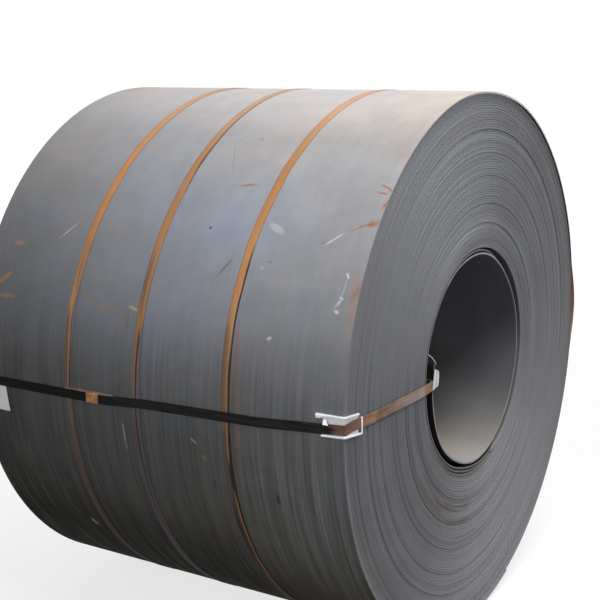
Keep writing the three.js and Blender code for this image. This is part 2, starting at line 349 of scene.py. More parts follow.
class FinishBook:
    """Writes the node tree of one material, or of the world."""

    def __init__(self, name: str, world: bpy.types.World | None = None) -> None:
        """Starts a material with an empty tree.

        Args:
            name: Name of the material.
            world: The world, where the tree is its own.
        """
        self.material = world or bpy.data.materials.new(name)
        self.material.use_nodes = True
        self.tree = self.material.node_tree
        self.tree.nodes.clear()

    def node(self, kind: str, settings: dict | None = None, inputs: dict | None = None,
             output: int | str = 0) -> Channel:
        """Adds one node.

        Args:
            kind: The node's type.
            settings: Its properties, set before its sockets. A ramp's stops go in as "stops".
            inputs: Socket name or number to a channel or a plain value.
            output: The socket to hand back.

        Returns:
            The chosen output.
        """
        made = self.tree.nodes.new(kind)
        for key, value in (settings or {}).items():
            if key == "stops":
                ramp = made.color_ramp
                while len(ramp.elements) > 1:
                    ramp.elements.remove(ramp.elements[-1])
                for index, (place, colour) in enumerate(value):
                    stop = ramp.elements[0] if index == 0 else ramp.elements.new(place)
                    stop.position = place
                    stop.color = (*colour, 1.0)
            else:
                setattr(made, key, value)
        for key, value in (inputs or {}).items():
            socket = made.inputs[key]
            if isinstance(value, Channel):
                value = value.value
            if isinstance(value, bpy.types.NodeSocket):
                self.tree.links.new(value, socket)
            elif socket.type == "RGBA" and len(value) == 3:
                socket.default_value = (*value, 1.0)
            else:
                socket.default_value = value
        return Channel(self, made.outputs[output] if len(made.outputs) else 0.0)

    def reading(self, name: str) -> Channel:
        """Gives what the mesh holds under a name."""
        return self.node("ShaderNodeAttribute", {"attribute_name": name}, output="Fac")

    def place(self) -> Channel:
        """Gives the place on the object."""
        return self.node("ShaderNodeTexCoord", output="Object")

    def split(self, vector: Channel) -> tuple[Channel, Channel, Channel]:
        """Takes a vector apart."""
        x = self.node("ShaderNodeSeparateXYZ", inputs={0: vector})
        outputs = x.value.node.outputs
        return tuple(Channel(self, outputs[index]) for index in range(3))

    def join(self, x: Channel | float, y: Channel | float, z: Channel | float) -> Channel:
        """Puts a vector together."""
        return self.node("ShaderNodeCombineXYZ", inputs={0: x, 1: y, 2: z})

    def speckle(self, vector: Channel, scale: float, detail: float, rough: float = 0.6, low: float = 0.3,
                high: float = 0.7) -> Channel:
        """Gives a cloudy noise, eased between two readings.

        Args:
            vector: Where to read it.
            scale: Its fineness.
            detail: Octaves.
            rough: Strength of the finer octaves.
            low: Reading that becomes 0.
            high: Reading that becomes 1.

        Returns:
            The noise from 0 to 1.
        """
        cloud = self.node("ShaderNodeTexNoise", inputs={
            "Vector": vector, "Scale": scale, "Detail": detail, "Roughness": rough})
        return cloud.ease(low, high)

    def streaks(self, vector: Channel, scale: Colour, *readings: float, shift: Colour = (0.0, 0.0, 0.0)) -> Channel:
        """Gives a speckle that is stretched and shifted along each axis.

        Args:
            vector: Where to read it.
            scale: Its fineness along each axis.
            readings: What speckle takes after its scale.
            shift: Added after the scaling.

        Returns:
            The noise from 0 to 1.
        """
        place = self.node("ShaderNodeMapping", inputs={"Vector": vector, "Location": shift, "Scale": scale})
        return self.speckle(place, 1.0, *readings)

    def blend(self, amount: Channel | float, first: Channel | Colour, second: Channel | Colour,
              how: str = "MIX") -> Channel:
        """Mixes two colours.

        Args:
            amount: Share of the second.
            first: Colour at 0.
            second: Colour at 1.
            how: The way the second is laid over the first.

        Returns:
            The mixed colour.
        """
        return self.node("ShaderNodeMix", {"data_type": "RGBA", "blend_type": how},
                         {0: amount, 6: first, 7: second}, output=2)

    def tint(self, colour: Channel, by: Channel | Colour) -> Channel:
        """Multiplies a colour by another."""
        return self.blend(1.0, colour, by, "MULTIPLY")

    def shade(self, colour: Channel, amount: Channel | float) -> Channel:
        """Multiplies a colour by a grey amount."""
        return self.tint(colour, self.join(amount, amount, amount))

    def ramp(self, value: Channel, stops: Sequence[tuple[float, "Colour | float"]]) -> Channel:
        """Reads a colour, or a plain level from 0 to 2, off a row of stops.

        Args:
            value: Where to read it.
            stops: Pairs of a place and a colour or level, the places in the value's own unit.

        Returns:
            The colour or level.
        """
        first, last = stops[0][0], stops[-1][0]
        row = [((at - first) / (last - first), tone if isinstance(tone, tuple) else (tone / 2,) * 3)
               for at, tone in stops]
        share = (value + (0.0 - first)) * (1 / (last - first))
        read = self.node("ShaderNodeValToRGB", {"stops": row}, {"Fac": share})
        return read if isinstance(stops[0][1], tuple) else read * 2.0

    def slope(self, value: Channel, stops: Sequence[tuple[float, "Colour | float"]]) -> Channel:
        """Reads a row of stops whose places are degrees, by the sine of the angle."""
        return self.ramp(value, [(math.sin(math.radians(angle)), tone) for angle, tone in stops])

    def relief(self, height: Channel, distance: float, strength: float) -> Channel:
        """Turns a height into a bump.

        Args:
            height: The height from 0 to 1.
            distance: Metres that 1 stands for.
            strength: Share of the bump that shows.

        Returns:
            The bent normal.
        """
        return self.node("ShaderNodeBump", inputs={"Height": height, "Distance": distance, "Strength": strength})

    def shader(self, colour: Channel | Colour, roughness: Channel | float, metallic: float, ior: float,
               normal: Channel, sheen: float = 0.5) -> Channel:
        """Makes one surface shader.

        Args:
            colour: Base colour.
            roughness: Roughness.
            metallic: Share of bare metal.
            ior: Refractive index.
            normal: Bumped normal.
            sheen: Strength of the plain reflection, 0.5 being that of the refractive index.

        Returns:
            The shader.
        """
        return self.node("ShaderNodeBsdfPrincipled", inputs={
            "Base Color": colour, "Roughness": roughness, "Metallic": metallic, "IOR": ior,
            "Specular IOR Level": sheen, "Normal": normal})

    def surface(self, *readings: Channel | Colour | float) -> bpy.types.Material:
        """Ends the tree in one surface shader, which takes the same readings as shader does."""
        return self.end_in(self.shader(*readings))

    def end_in(self, shader: Channel, output: str = "ShaderNodeOutputMaterial") -> bpy.types.Material:
        """Joins a shader to the output and hands back the material."""
        self.node(output, inputs={"Surface": shader})
        return self.material


# ---------------------------------------------------------------- finishes


class MarkKind(Enum):
    """What a mark on the outside of the coil is made of."""

    RUST = (0.33, 0.125, 0.06)
    OCHRE = (0.4, 0.22, 0.09)
    SAND = (0.5, 0.42, 0.26)
    OLIVE = (0.2, 0.17, 0.09)
    PALE = (0.72, 0.73, 0.76)
    DARK = (0.05, 0.05, 0.055)
    PINK = (0.42, 0.25, 0.2)


@dataclass(frozen=True)
class Mark:
    """A scratch or stain on the outside of the coil.

    x and angle give its middle, in metres and degrees round the coil. length and width are in
    metres, lean turns it from the axis towards the turn, and strength is how much it covers.
    """

    kind: MarkKind
    x: float
    angle: float
    length: float
    width: float
    lean: float
    strength: float


RUST, OCHRE, SAND, OLIVE, PALE, DARK, PINK = MarkKind
MARKS = tuple(Mark(*row) for row in (
    (RUST, 0.721, 134.2, 0.036, 0.006, -20, 0.8), (RUST, 0.719, 135.7, 0.041, 0.006, -5, 0.8),
    (RUST, 0.742, 135.0, 0.027, 0.007, -31, 0.8), (RUST, 0.751, 138.5, 0.025, 0.005, -28, 0.7),
    (RUST, 0.749, 138.3, 0.062, 0.010, -89, 0.45), (RUST, 0.680, 143.5, 0.033, 0.005, 34, 0.55),
    (RUST, 0.719, 142.5, 0.053, 0.012, 16, 0.75), (RUST, 0.730, 142.2, 0.042, 0.022, 20, 0.45),
    (RUST, 0.745, 138.1, 0.040, 0.008, 67, 0.6), (PINK, 0.736, 127.5, 0.055, 0.016, 57, 0.35),
    (PINK, 0.732, 157.0, 0.150, 0.026, -86, 0.4), (PALE, 0.617, 145.9, 0.056, 0.005, 41, 0.65),
    (OCHRE, 0.582, 146.9, 0.010, 0.009, 28, 0.85), (DARK, 0.158, 145.8, 0.009, 0.009, 5, 0.9),
    (RUST, 0.231, 135.8, 0.054, 0.009, 10, 0.75), (DARK, 0.120, 129.3, 0.140, 0.004, -65, 0.22),
    (DARK, 0.174, 123.0, 0.022, 0.008, -27, 0.3), (DARK, 0.093, 123.5, 0.046, 0.006, 61, 0.22),
    (OCHRE, 0.585, 141.0, 0.016, 0.006, -46, 0.35), (OLIVE, 0.258, 153.4, 0.057, 0.008, 57, 0.75),
    (PALE, 0.394, 152.8, 0.015, 0.008, 32, 0.4), (DARK, 0.417, 151.5, 0.015, 0.005, -28, 0.4),
    (OCHRE, 0.442, 153.8, 0.018, 0.006, -32, 0.4), (PALE, 0.469, 165.4, 0.014, 0.009, 32, 0.75),
    (PINK, -0.418, 149.0, 0.105, 0.007, 46, 0.75), (PALE, -0.418, 149.0, 0.060, 0.004, 46, 0.45),
    (OCHRE, -0.235, 163.3, 0.024, 0.010, 6, 0.6), (OCHRE, -0.203, 163.5, 0.039, 0.004, 4, 0.4),
    (OCHRE, -0.172, 163.6, 0.022, 0.010, 3, 0.5), (SAND, -0.065, 163.3, 0.034, 0.009, -17, 0.85),
    (OLIVE, -0.080, 166.5, 0.078, 0.010, -89, 0.5), (OCHRE, -0.653, 160.6, 0.060, 0.014, 40, 0.7),
    (OCHRE, -0.631, 164.1, 0.058, 0.014, -2, 0.7), (PINK, -0.625, 152.8, 0.042, 0.016, -1, 0.5),
    (OCHRE, -0.140, 163.9, 0.040, 0.012, -11, 0.45), (PINK, 0.130, 166.5, 0.050, 0.012, 0, 0.3),
    (RUST, 0.741, 155.1, 0.058, 0.017, 62, 0.35), (PALE, 0.684, 157.7, 0.029, 0.006, 61, 0.8),
    (PALE, 0.691, 156.7, 0.014, 0.006, -20, 0.8), (PALE, 0.696, 152.6, 0.016, 0.006, -57, 0.8),
    (PALE, 0.684, 159.2, 0.014, 0.009, -23, 0.9), (PALE, 0.694, 155.0, 0.090, 0.004, 84, 0.35),
    (PALE, 0.404, 144.8, 0.050, 0.018, -25, 0.3), (PINK, 0.232, 190.2, 0.017, 0.011, -56, 0.6),
    (DARK, 0.496, 196.0, 0.036, 0.013, -84, 0.75), (DARK, 0.255, 195.9, 0.031, 0.008, 89, 0.6),
    (PALE, -0.396, 216.4, 0.039, 0.014, -66, 0.45), (PALE, -0.092, 189.1, 0.083, 0.007, -87, 0.3),
    (PALE, 0.195, 187.1, 0.020, 0.007, -33, 0.35), (RUST, 0.361, 170.6, 0.199, 0.019, -85, 0.28),
    (RUST, 0.366, 182.0, 0.155, 0.019, -89, 0.3)))


@dataclass(frozen=True)
class MillScale:
    """Blue-grey rolling scale on the outside of the coil, with streaks, dust and scratches.

    tones go by the climb in degrees above the level of the axis: painted shade that darkens the underside, and
    painted light over the top together with pale dust there. The three fades are painted shade that darkens the top,
    the upper side and the lower side towards the back, by the place along the coil.
    """

    axis: CoilAxis
    marks: tuple[Mark, ...] = MARKS
    tones: tuple[tuple[float, Colour], ...] = (
        (-90, (0.045, 0.042, 0.035)), (-50, (0.066, 0.063, 0.054)), (-38, (0.12, 0.117, 0.107)),
        (-26, (0.158, 0.157, 0.15)), (-14, (0.173, 0.175, 0.177)), (-4, (0.17, 0.175, 0.185)),
        (4, (0.2, 0.206, 0.221)), (10, (0.229, 0.238, 0.259)), (16, (0.269, 0.277, 0.3)),
        (25, (0.296, 0.302, 0.324)), (35, (0.302, 0.306, 0.326)), (45, (0.3, 0.302, 0.318)),
        (58, (0.31, 0.302, 0.308)), (78, (0.405, 0.375, 0.362)))
    top_fade: Knots = (
        (-0.75, 0.88), (-0.6, 1.01), (-0.4, 1.06), (-0.2, 1.07), (0.1, 1.1), (0.3, 1.09), (0.5, 1.04), (0.75, 1.04))
    side_fade: Knots = (
        (-0.75, 0.58), (-0.6, 0.58), (-0.4, 0.75), (-0.25, 0.85), (0.08, 1.03), (0.3, 1.12), (0.75, 1.1))
    low_fade: Knots = (
        (-0.75, 0.17), (-0.6, 0.23), (-0.4, 0.34), (-0.25, 0.4), (0.16, 0.57), (0.3, 0.75), (0.44, 0.95),
        (0.6, 1.05), (0.75, 1.05))

    def make(self) -> bpy.types.Material:
        """Builds the material.

        Returns:
            The material for the outer lap.
        """
        book = FinishBook("mill_scale")
        place = book.place()
        x, y, z = book.split(place)
        y0, z0 = y - self.axis.y, z - self.axis.z
        rise = z0 / BAND_RADIUS
        # degrees past the -Y side towards the top, with its seam on the +Y side
        climb = z0.degrees_from(0.0 - y0)

        clouds = book.streaks(place, (2.2, 1.6, 1.6), 4.0)
        hues = book.streaks(place, (1.7, 2.4, 2.4), 3.0, 0.6, 0.35, 0.65, shift=(3.1, 0.4, 7.7))
        fine = book.streaks(place, (260.0, 2.6, 2.6), 3.0, 0.6, 0.35, 0.65)
        broad = book.streaks(place, (42.0, 1.4, 1.4), 3.0, 0.55, 0.36, 0.66)
        grit = book.speckle(place, 55.0, 3.0, 0.6, 0.4, 0.68)
        smudge = book.speckle(place, 9.0, 5.0, 0.62, 0.35, 0.65)
        low = rise.ease(0.35, -0.25)

        # painted shade below and painted light over the top, with pale dust there, by the climb
        colour = book.slope(rise, self.tones)
        colour = book.tint(colour, book.blend(hues, (0.97, 0.995, 1.035), (1.03, 1.0, 0.965)))
        cool = (x - 0.1).absolute().ease(0.42, 0.1) * (rise - 0.42).absolute().ease(0.42, 0.1)
        colour = book.blend(cool, colour, book.tint(colour, (0.95, 1.0, 1.1)))
        warm = x.ease(0.35, 0.7) * rise.ease(0.1, 0.5)
        colour = book.blend(warm, colour, book.tint(colour, (1.035, 1.0, 0.955)))
        # painted shade that darkens the coil towards the back, by the place along it
        fade = book.blend(rise.ease(0.42, 1.0), book.ramp(x, self.side_fade), book.ramp(x, self.top_fade))
        fade = book.blend(rise.ease(0.34, -0.38), fade, book.ramp(x, self.low_fade))
        colour = book.shade(colour, fade)
        scratchy = 0.03 + 0.36 * low
        colour = book.shade(colour, 0.94 + 0.06 * clouds + (fine - 0.5) * scratchy + (broad - 0.5) * scratchy
                            + (smudge - 0.5) * 0.09)
        dull = book.streaks(place, (38.0, 2.6, 2.6), 4.0, 0.6, 0.48, 0.7, shift=(0.0, 3.3, 1.9))
        colour = book.blend(dull * low * 0.45, colour, (0.13, 0.12, 0.083))
        dry = book.streaks(place, (105.0, 4.2, 4.2), 3.0, 0.6, 0.55, 0.72)
        colour = book.blend(dry * low * (0.16 + 0.34 * x.ease(0.1, 0.5)), colour, (0.22, 0.21, 0.165))
        edge_rust = x.absolute().ease(0.68, 0.75) * book.speckle(place, 14.0, 5.0, 0.65, 0.5, 0.72)
        colour = book.blend(edge_rust * 0.3, colour, (0.3, 0.2, 0.14))
        spread = grit + smudge * 0.6
        for mark in self.marks:
            lean = math.radians(mark.lean)
            off, arc = x - mark.x, (climb - (180.0 - mark.angle)) * (math.pi / 180 * MARK_RADIUS)
            along = (off * math.cos(lean) + arc * math.sin(lean)) / (mark.length / 2)
            across = (arc * math.cos(lean) - off * math.sin(lean)) / (mark.width / 2)
            reach = along * along + across * across + spread * 0.9
            colour = book.blend(reach.ease(3.1, 0.8) * mark.strength, colour, mark.kind.value)

        roughness = 0.44 + 0.12 * clouds + 0.06 * low + 0.06 * fine
        height = (0.5 * fine + 0.3 * broad) * (0.12 + 0.88 * low) + 0.3 * smudge
        bumps = book.relief(height, 0.0006, 0.6)
        # below the side a matte copy that reflects far less is mixed in: painted shade that darkens the underside,
        # along with the dust there
        shiny = book.shader(colour, roughness, 0.0, 1.3, bumps, 0.22)
        dust_and_painted_light = book.shader(colour, 0.7, 0.0, 1.3, bumps, 0.018)
        return book.end_in(book.node("ShaderNodeMixShader", inputs={0: rise.ease(-0.2, -0.62), 1: shiny, 2: dust_and_painted_light}))


@dataclass(frozen=True)
class RingStainAndShade:
    """A rust stain that follows the laps, and in one row a painted shadow in the same form: its radius, angle in
    degrees, spread and strength.
    """

    radius: float
    angle: float
    width: float
    spread: float
    strength: float
    colour: Colour = (0.1, 0.055, 0.04)


RING_STAINS_AND_SHADE = tuple(RingStainAndShade(*row) for row in (
    (0.542, 226, 0.018, 17, 0.75), (0.523, 241, 0.016, 18, 0.95), (0.508, 252, 0.013, 15, 0.8),
    (0.563, 254, 0.014, 14, 0.8), (0.59, 232, 0.010, 14, 0.6), (0.47, 236, 0.012, 30, 0.4),
    (0.62, 262, 0.007, 12, 0.35), (0.86, 95, 0.012, 32, 0.3, (0.27, 0.265, 0.26)),
    (0.455, 260, 0.01, 40, 0.35, (0.24, 0.235, 0.2)), (0.434, 14, 0.011, 46, 0.5, (0.07, 0.07, 0.075)),
    # a painted shadow over the outer laps at the top, inside the lifted outer lap
    (0.948, 40, 0.026, 66, 0.8, (0.03, 0.03, 0.033))))


# The ends of the laps as levels by the radius: painted shadow in the rings that stand back, and painted highlights on
# the crests.
LOWER_RING_SHADE = (
    (0.39, 1.0), (0.47, 1.0), (0.482, 0.84), (0.491, 0.72), (0.503, 0.88), (0.53, 1.02), (0.545, 1.04),
    (0.556, 0.72), (0.568, 0.86), (0.59, 1.02), (0.62, 1.0), (0.636, 0.8), (0.648, 0.95), (0.664, 0.9),
    (0.69, 1.0), (0.726, 1.03), (0.741, 0.83), (0.757, 1.04), (0.777, 1.05), (0.791, 0.82), (0.806, 1.03),
    (0.828, 0.9), (0.846, 1.05), (0.866, 0.92), (0.878, 0.96), (0.892, 0.82), (0.905, 0.92), (0.92, 0.8),
    (0.94, 0.98), (0.955, 1.08))
UPPER_RING_SHADE_AND_LIGHT = (
    (0.39, 0.95), (0.418, 0.8), (0.43, 0.96), (0.441, 0.72), (0.456, 0.84), (0.478, 1.0), (0.5, 1.3),
    (0.52, 1.14), (0.54, 1.0), (0.552, 0.88), (0.575, 1.0), (0.645, 0.95), (0.66, 1.0), (0.71, 1.06),
    (0.726, 0.92), (0.742, 0.9), (0.758, 1.08), (0.773, 1.1), (0.788, 0.74), (0.802, 1.16), (0.811, 1.14),
    (0.823, 0.88), (0.838, 1.0), (0.857, 0.77), (0.873, 0.87), (0.888, 0.82), (0.902, 1.04), (0.918, 0.82),
    (0.935, 0.68), (0.948, 0.56), (0.958, 0.58))
# The level by the angle in degrees from the +Y side towards the top: painted light and shade by how each part of the
# end faces the light.
FACE_SHADE_BY_ANGLE = (
    (-180, 0.81), (-165, 0.86), (-150, 0.87), (-135, 1.01), (-120, 1.23), (-105, 1.6), (-90, 1.76), (-75, 1.8),
    (-60, 1.59), (-45, 1.39), (-30, 1.17), (-15, 1.0), (0, 0.89), (15, 0.815), (45, 0.8), (60, 0.83), (75, 0.97),
    (90, 1.15), (105, 1.21), (120, 1.14), (135, 1.04), (150, 1.02), (165, 0.95), (180, 0.81))


@dataclass(frozen=True)
class LapEdges:
    """Sheared lap edges on the ends of the coil, dark between the laps and stained with rust, with painted shade and
    highlights over the stepped rings.
    """

    axis: CoilAxis
    gauge: float
    outer: float
    stains_and_shade: tuple[RingStainAndShade, ...] = RING_STAINS_AND_SHADE

    def make(self) -> bpy.types.Material:
        """Builds the material.

        Returns:
            The material for the ends of the coil.
        """
        book = FinishBook("lap_edges")
        place = book.place()
        _, y, z = book.split(place)
        y0, z0 = y - self.axis.y, z - self.axis.z
        radius = (y0 * y0 + z0 * z0) ** 0.5
        turn_y, turn_z = y0 / radius, z0 / radius
        gap = book.reading("gap")
        lap = book.reading("lap")

        def ringed(out: Channel, around: float, *readings: float) -> Channel:
            """Gives a speckle that is drawn out round the coil."""
            return book.speckle(book.join(out, turn_y * around, turn_z * around), 1.0, *readings)

        tone = ringed(lap.floor() * 3.7, 1.3, 1.0, 0.5, 0.25, 0.75)
        seams = ringed(radius * 62.0, 0.9, 2.0, 0.5, 0.6, 0.74)
        bright = book.speckle(book.join(radius * 75.0, turn_y, turn_z + 5.0), 1.0, 2.0, 0.5, 0.62, 0.74)
        brush = ringed(radius * 700.0, 5.0, 2.0)
        mottle = book.speckle(place, 7.0, 5.0, 0.62, 0.32, 0.7)
        shift = ringed(radius * 3.0, 1.4, 2.0, 0.5)

        colour = book.blend(mottle, (0.176, 0.18, 0.2), (0.2, 0.204, 0.223))
        colour = book.shade(colour, 0.92 + 0.12 * tone + 0.08 * brush)
        drifted = radius + (shift - 0.5) * 0.006
        # painted shadow and highlight rings: the lower set below the axis, the upper set over the top
        lower = turn_z.ease(0.25, -0.2) * (1.0 - 0.75 * (turn_y - 0.45).ease(-0.35, 0.35))
        upper = (turn_z + turn_y * 0.35).ease(-0.1, 0.5) * (turn_y + 0.62).ease(-0.25, 0.4)
        colour = book.shade(colour, book.blend(lower, (1.0, 1.0, 1.0), book.ramp(drifted, LOWER_RING_SHADE) ** 1.4))
        colour = book.shade(colour, book.blend(upper, (1.0, 1.0, 1.0), book.ramp(drifted, UPPER_RING_SHADE_AND_LIGHT)))
        turn = turn_z.degrees_from(turn_y)
        # painted light and shade round the end, by the angle
        colour = book.shade(colour, book.ramp(turn, FACE_SHADE_BY_ANGLE))
        colour = book.blend(seams * 0.3, colour, (0.085, 0.085, 0.092))
        colour = book.blend(bright * 0.15, colour, (0.34, 0.34, 0.35))
        colour = book.blend(z0.ease(0.0, -0.6) * 0.2, colour, (0.19, 0.178, 0.165))
        eye_edge = book.ramp(turn, (
            (-180, 0.448), (-161, 0.438), (-148, 0.428), (-140, 0.4225), (-130, 0.4145), (-120, 0.411),
            (-111, 0.4065), (-96, 0.401), (-80, 0.397), (-68, 0.392), (-40, 0.385), (180, 0.38)))
        # darker just outside the eye's edge on the lower side, away from +Y
        near_eye_dark = (radius - eye_edge).ease(0.006, -0.004) * (0.0 - turn_z).ease(0.25, 0.6) * turn_y.ease(0.55, 0.3)
        colour = book.blend(near_eye_dark * 0.75, colour, (0.07, 0.066, 0.054))
        # rust stains, and the painted shadow in the outer laps
        for ring_mark in self.stains_and_shade:
            angle = math.radians(ring_mark.angle)
            facing = turn_y * math.cos(angle) + turn_z * math.sin(angle)
            along = facing.ease(math.cos(math.radians(ring_mark.spread)), math.cos(math.radians(ring_mark.spread * 0.2)))
            off = (radius - ring_mark.radius).absolute() + mottle * (ring_mark.width * 0.5)
            across = off.ease(ring_mark.width, ring_mark.width * 0.2)
            colour = book.blend(along * across * ring_mark.strength, colour, ring_mark.colour)
        flecks = ringed(radius * 30.0, 6.0, 5.0, 0.7, 0.62, 0.78)
        colour = book.blend(flecks * 0.3, colour, (0.17, 0.115, 0.085))
        # painted shade in the grooves between the laps, along with the dirt there
        colour = book.blend(gap.ease(0.25, 1.0) * 0.5, colour, (0.04, 0.038, 0.04))
        rim = radius.ease(self.outer - self.gauge * 1.05, self.outer - self.gauge * 0.75)
        # a painted highlight on the lifted outer lap's edge at the top, and a paler edge low on the -Y side
        colour = book.blend(rim * turn_z.ease(0.5, 0.9) * turn_y.ease(-0.25, 0.1) * 0.85, colour, (0.66, 0.62, 0.57))
        colour = book.blend(rim * turn_z.ease(0.35, 0.1) * turn_y.ease(-0.5, -0.8) * 0.4, colour, (0.3, 0.3, 0.31))
        return book.surface(colour, 0.48 + 0.14 * mottle, 0.0, 1.4, book.relief(brush, 0.0003, 0.5))


@dataclass(frozen=True)
class EyeScale:
    """Dull scale on the wall of the eye, with painted light on its floor and painted shade higher up the wall."""

    axis: CoilAxis

    def make(self) -> bpy.types.Material:
        """Builds the material.

        Returns:
            The material for the wall of the eye.
        """
        book = FinishBook("eye_scale")
        place = book.place()
        x, y, z = book.split(place)
        clouds = book.speckle(place, 3.0, 4.0)
        streaks = book.streaks(place, (160.0, 3.0, 3.0), 3.0, 0.6, 0.35, 0.65)
        rise = z - self.axis.z
        # painted light on the floor of the eye, darkening up the wall
        colour = book.ramp(rise, (
            (-0.36, (0.41, 0.375, 0.34)), (-0.32, (0.285, 0.267, 0.25)), (-0.26, (0.2, 0.196, 0.196)),
            (-0.2, (0.168, 0.168, 0.174)), (-0.1, (0.165, 0.166, 0.178)), (0.0, (0.16, 0.163, 0.178)),
            (0.15, (0.15, 0.157, 0.173)), (0.37, (0.14, 0.147, 0.163))))
        shadow = 0.25 * y.ease(0.05, 0.3) * rise.ease(0.0, -0.15)
        colour = book.shade(colour, 0.92 + 0.16 * clouds - shadow)
        colour = book.shade(colour, 0.95 + 0.04 * streaks)
        # a painted level by the depth, lighter deep inside than near the ends
        depth = book.ramp(x.absolute(), (
            (0.0, 1.75), (0.43, 1.75), (0.48, 1.6), (0.53, 1.35), (0.58, 1.12), (0.64, 1.03), (0.7, 0.87),
            (0.75, 0.8)))
        floor = rise.ease(-0.18, -0.29)
        colour = book.shade(colour, depth * (1.0 - floor) + floor)
        colour = book.shade(colour, 1.0 + 0.15 * (rise + 0.19).absolute().ease(0.1, 0.0))
        rust = book.speckle(place, 11.0, 6.0, 0.65, 0.6, 0.75)
        colour = book.blend(rust * 0.2, colour, (0.2, 0.13, 0.09))
        return book.surface(colour, 0.5 + 0.15 * clouds, 0.0, 1.3, book.relief(streaks, 0.0004, 0.5))


@dataclass(frozen=True)
class CloudyScaleAndShade:
    """Rust or a near-black sheet of painted shade, with one cloudy pattern: its scale, octaves and their strength,
    and how it takes light.
    """

    name: str
    dark: Colour
    light: Colour
    pattern: tuple[float, float, float]
    roughness: float
    ior: float
    depth: float
    sheen: float

    def make(self) -> bpy.types.Material:
        """Builds the material.

        Returns:
            The material.
        """
        book = FinishBook(self.name)
        clouds = book.speckle(book.place(), *self.pattern, 0.3, 0.7)
        colour = book.blend(clouds, self.dark, self.light)
        return book.surface(colour, self.roughness, 0.0, self.ior, book.relief(clouds, self.depth, 0.5), self.sheen)


# a near-black sheet of painted shade for the gap behind the lifted outer lap, the loose laps' outer face and their
# deep-set edges
GAP_SHADE = CloudyScaleAndShade(
    "gap_shade", (0.022, 0.021, 0.022), (0.04, 0.038, 0.038), (26.0, 4.0, 0.6), 0.7, 1.3, 0.0005, 0.2)
RUSTED_LAP = CloudyScaleAndShade(
    "rusted_lap", (0.3, 0.12, 0.05), (0.5, 0.22, 0.09), (22.0, 6.0, 0.65), 0.85, 1.45, 0.001, 0.5)


@dataclass(frozen=True)
class PaleLooseEdge:
    """Edge of the loose innermost lap, paler than the other lap edges and darker round its +Y side."""

    axis: CoilAxis

    def make(self) -> bpy.types.Material:
        """Builds the material.

        Returns:
            The material of that edge.
        """
        book = FinishBook("pale_loose_edge")
        place = book.place()
        clouds = book.speckle(place, 14.0, 4.0)
        grit = book.speckle(place, 120.0, 3.0)
        colour = book.blend(clouds, (0.3, 0.31, 0.33), (0.42, 0.42, 0.43))
        colour = book.shade(colour, 0.88 + 0.24 * grit)
        _, y, z = book.split(place)
        turn = (z - self.axis.z).degrees_from(y - self.axis.y)
        colour = book.shade(colour, book.ramp(turn, (
            (-180, 1.0), (-70, 1.0), (-45, 0.84), (-15, 0.78), (0, 0.62), (20, 0.48), (55, 0.46), (75, 1.0),
            (180, 1.0))))
        return book.surface(colour, 0.5, 0.0, 1.4, book.relief(grit, 0.0003, 0.4), 0.3)


class StrapTone(Enum):
    """Tones of a rusted strap, from bright rust to the scale that rubbed off on it, with a painted shadow."""

    ORANGE = (0.47, 0.22, 0.085)
    AMBER = (0.45, 0.225, 0.09)
    TAN = (0.33, 0.195, 0.115)
    BROWN = (0.26, 0.15, 0.09)
    PINK = (0.24, 0.165, 0.155)
    UMBER = (0.17, 0.095, 0.065)
    SHADOW = (0.05, 0.036, 0.032)
    SCALE = (0.13, 0.128, 0.126)


Lane = tuple[tuple[float, StrapTone], ...]


@dataclass(frozen=True)
class StrapWear:
    """How much a belly band leans, and its tones in four lanes side by side.

    Each lane goes by the climb in degrees above the side of the coil, and so does the level: painted light and shade
    which brightens or darkens them all. tint colours them all.
    """

    lean: float
    left: Lane
    middle: Lane
    right: Lane
    edge: Lane
    level: Knots
    tint: Colour


def belly_wear() -> dict[str, StrapWear]:
    """Lists how the belly bands are worn.

    Returns:
        The wear of each by its node's name.
    """
    orange, amber, tan, brown, pink, umber, shadow, scale = StrapTone
    return {
        "belly_band_front": StrapWear(
            1.0,
            ((-60, shadow), (-22, shadow), (-16, scale), (-7, scale), (-2, brown),
             (16, brown), (22, orange)),
            ((-60, shadow), (-7, umber), (0, brown), (17, tan), (21, orange)),
            ((-60, umber), (-42, amber), (-19, amber), (-16, shadow), (-10, shadow),
             (-7, amber), (18, amber), (23, orange)),
            ((-60, shadow), (-2, shadow), (27, shadow), (33, orange)),
            ((-50, 0.72), (-20, 0.78), (-10, 0.88), (0, 1.0), (12, 1.08), (18, 1.42), (24, 1.18), (30, 1.25),
             (36, 1.02), (48, 0.86), (60, 0.83), (70, 0.9), (85, 0.96)),
            (0.98, 1.02, 1.07)),
        "belly_band_middle": StrapWear(
            0.8,
            ((-60, scale), (-14, scale), (-10, umber), (-2, brown), (4, tan),
             (16, orange), (21, brown), (30, orange)),
            ((-60, scale), (-36, umber), (-14, shadow), (10, shadow), (14, orange),
             (18, brown), (26, brown), (33, orange)),
            ((-60, scale), (-38, umber), (-16, umber), (-10, scale), (-3, pink),
             (11, pink), (15, orange)),
            ((-60, scale), (-6, scale), (10, pink), (15, tan), (40, orange),
             (48, umber), (74, umber), (82, orange)),
            ((-50, 0.8), (-10, 0.95), (6, 0.95), (30, 0.97), (42, 0.88), (54, 0.82), (60, 0.88), (75, 0.95)),
            (0.95, 1.03, 1.18)),
        "belly_band_back": StrapWear(
            0.9,
            ((-60, scale), (0, scale), (3, umber), (12, umber), (15, amber),
             (23, amber), (30, orange)),
            ((-60, scale), (-44, scale), (-36, umber), (-5, brown), (0, tan),
             (12, tan), (17, amber), (24, brown), (34, orange)),
            ((-60, scale), (-44, scale), (-36, umber), (-8, brown), (-3, brown),
             (0, shadow), (13, umber), (17, tan), (34, orange)),
            ((-60, scale), (14, scale), (20, pink), (36, orange)),
            ((-50, 0.55), (-30, 0.68), (-12, 0.76), (-6, 0.88), (0, 1.0), (6, 1.25), (12, 1.55), (18, 1.12),
             (24, 1.0), (42, 1.05), (60, 0.96), (80, 0.95)),
            (1.0, 1.0, 1.02)),
    }


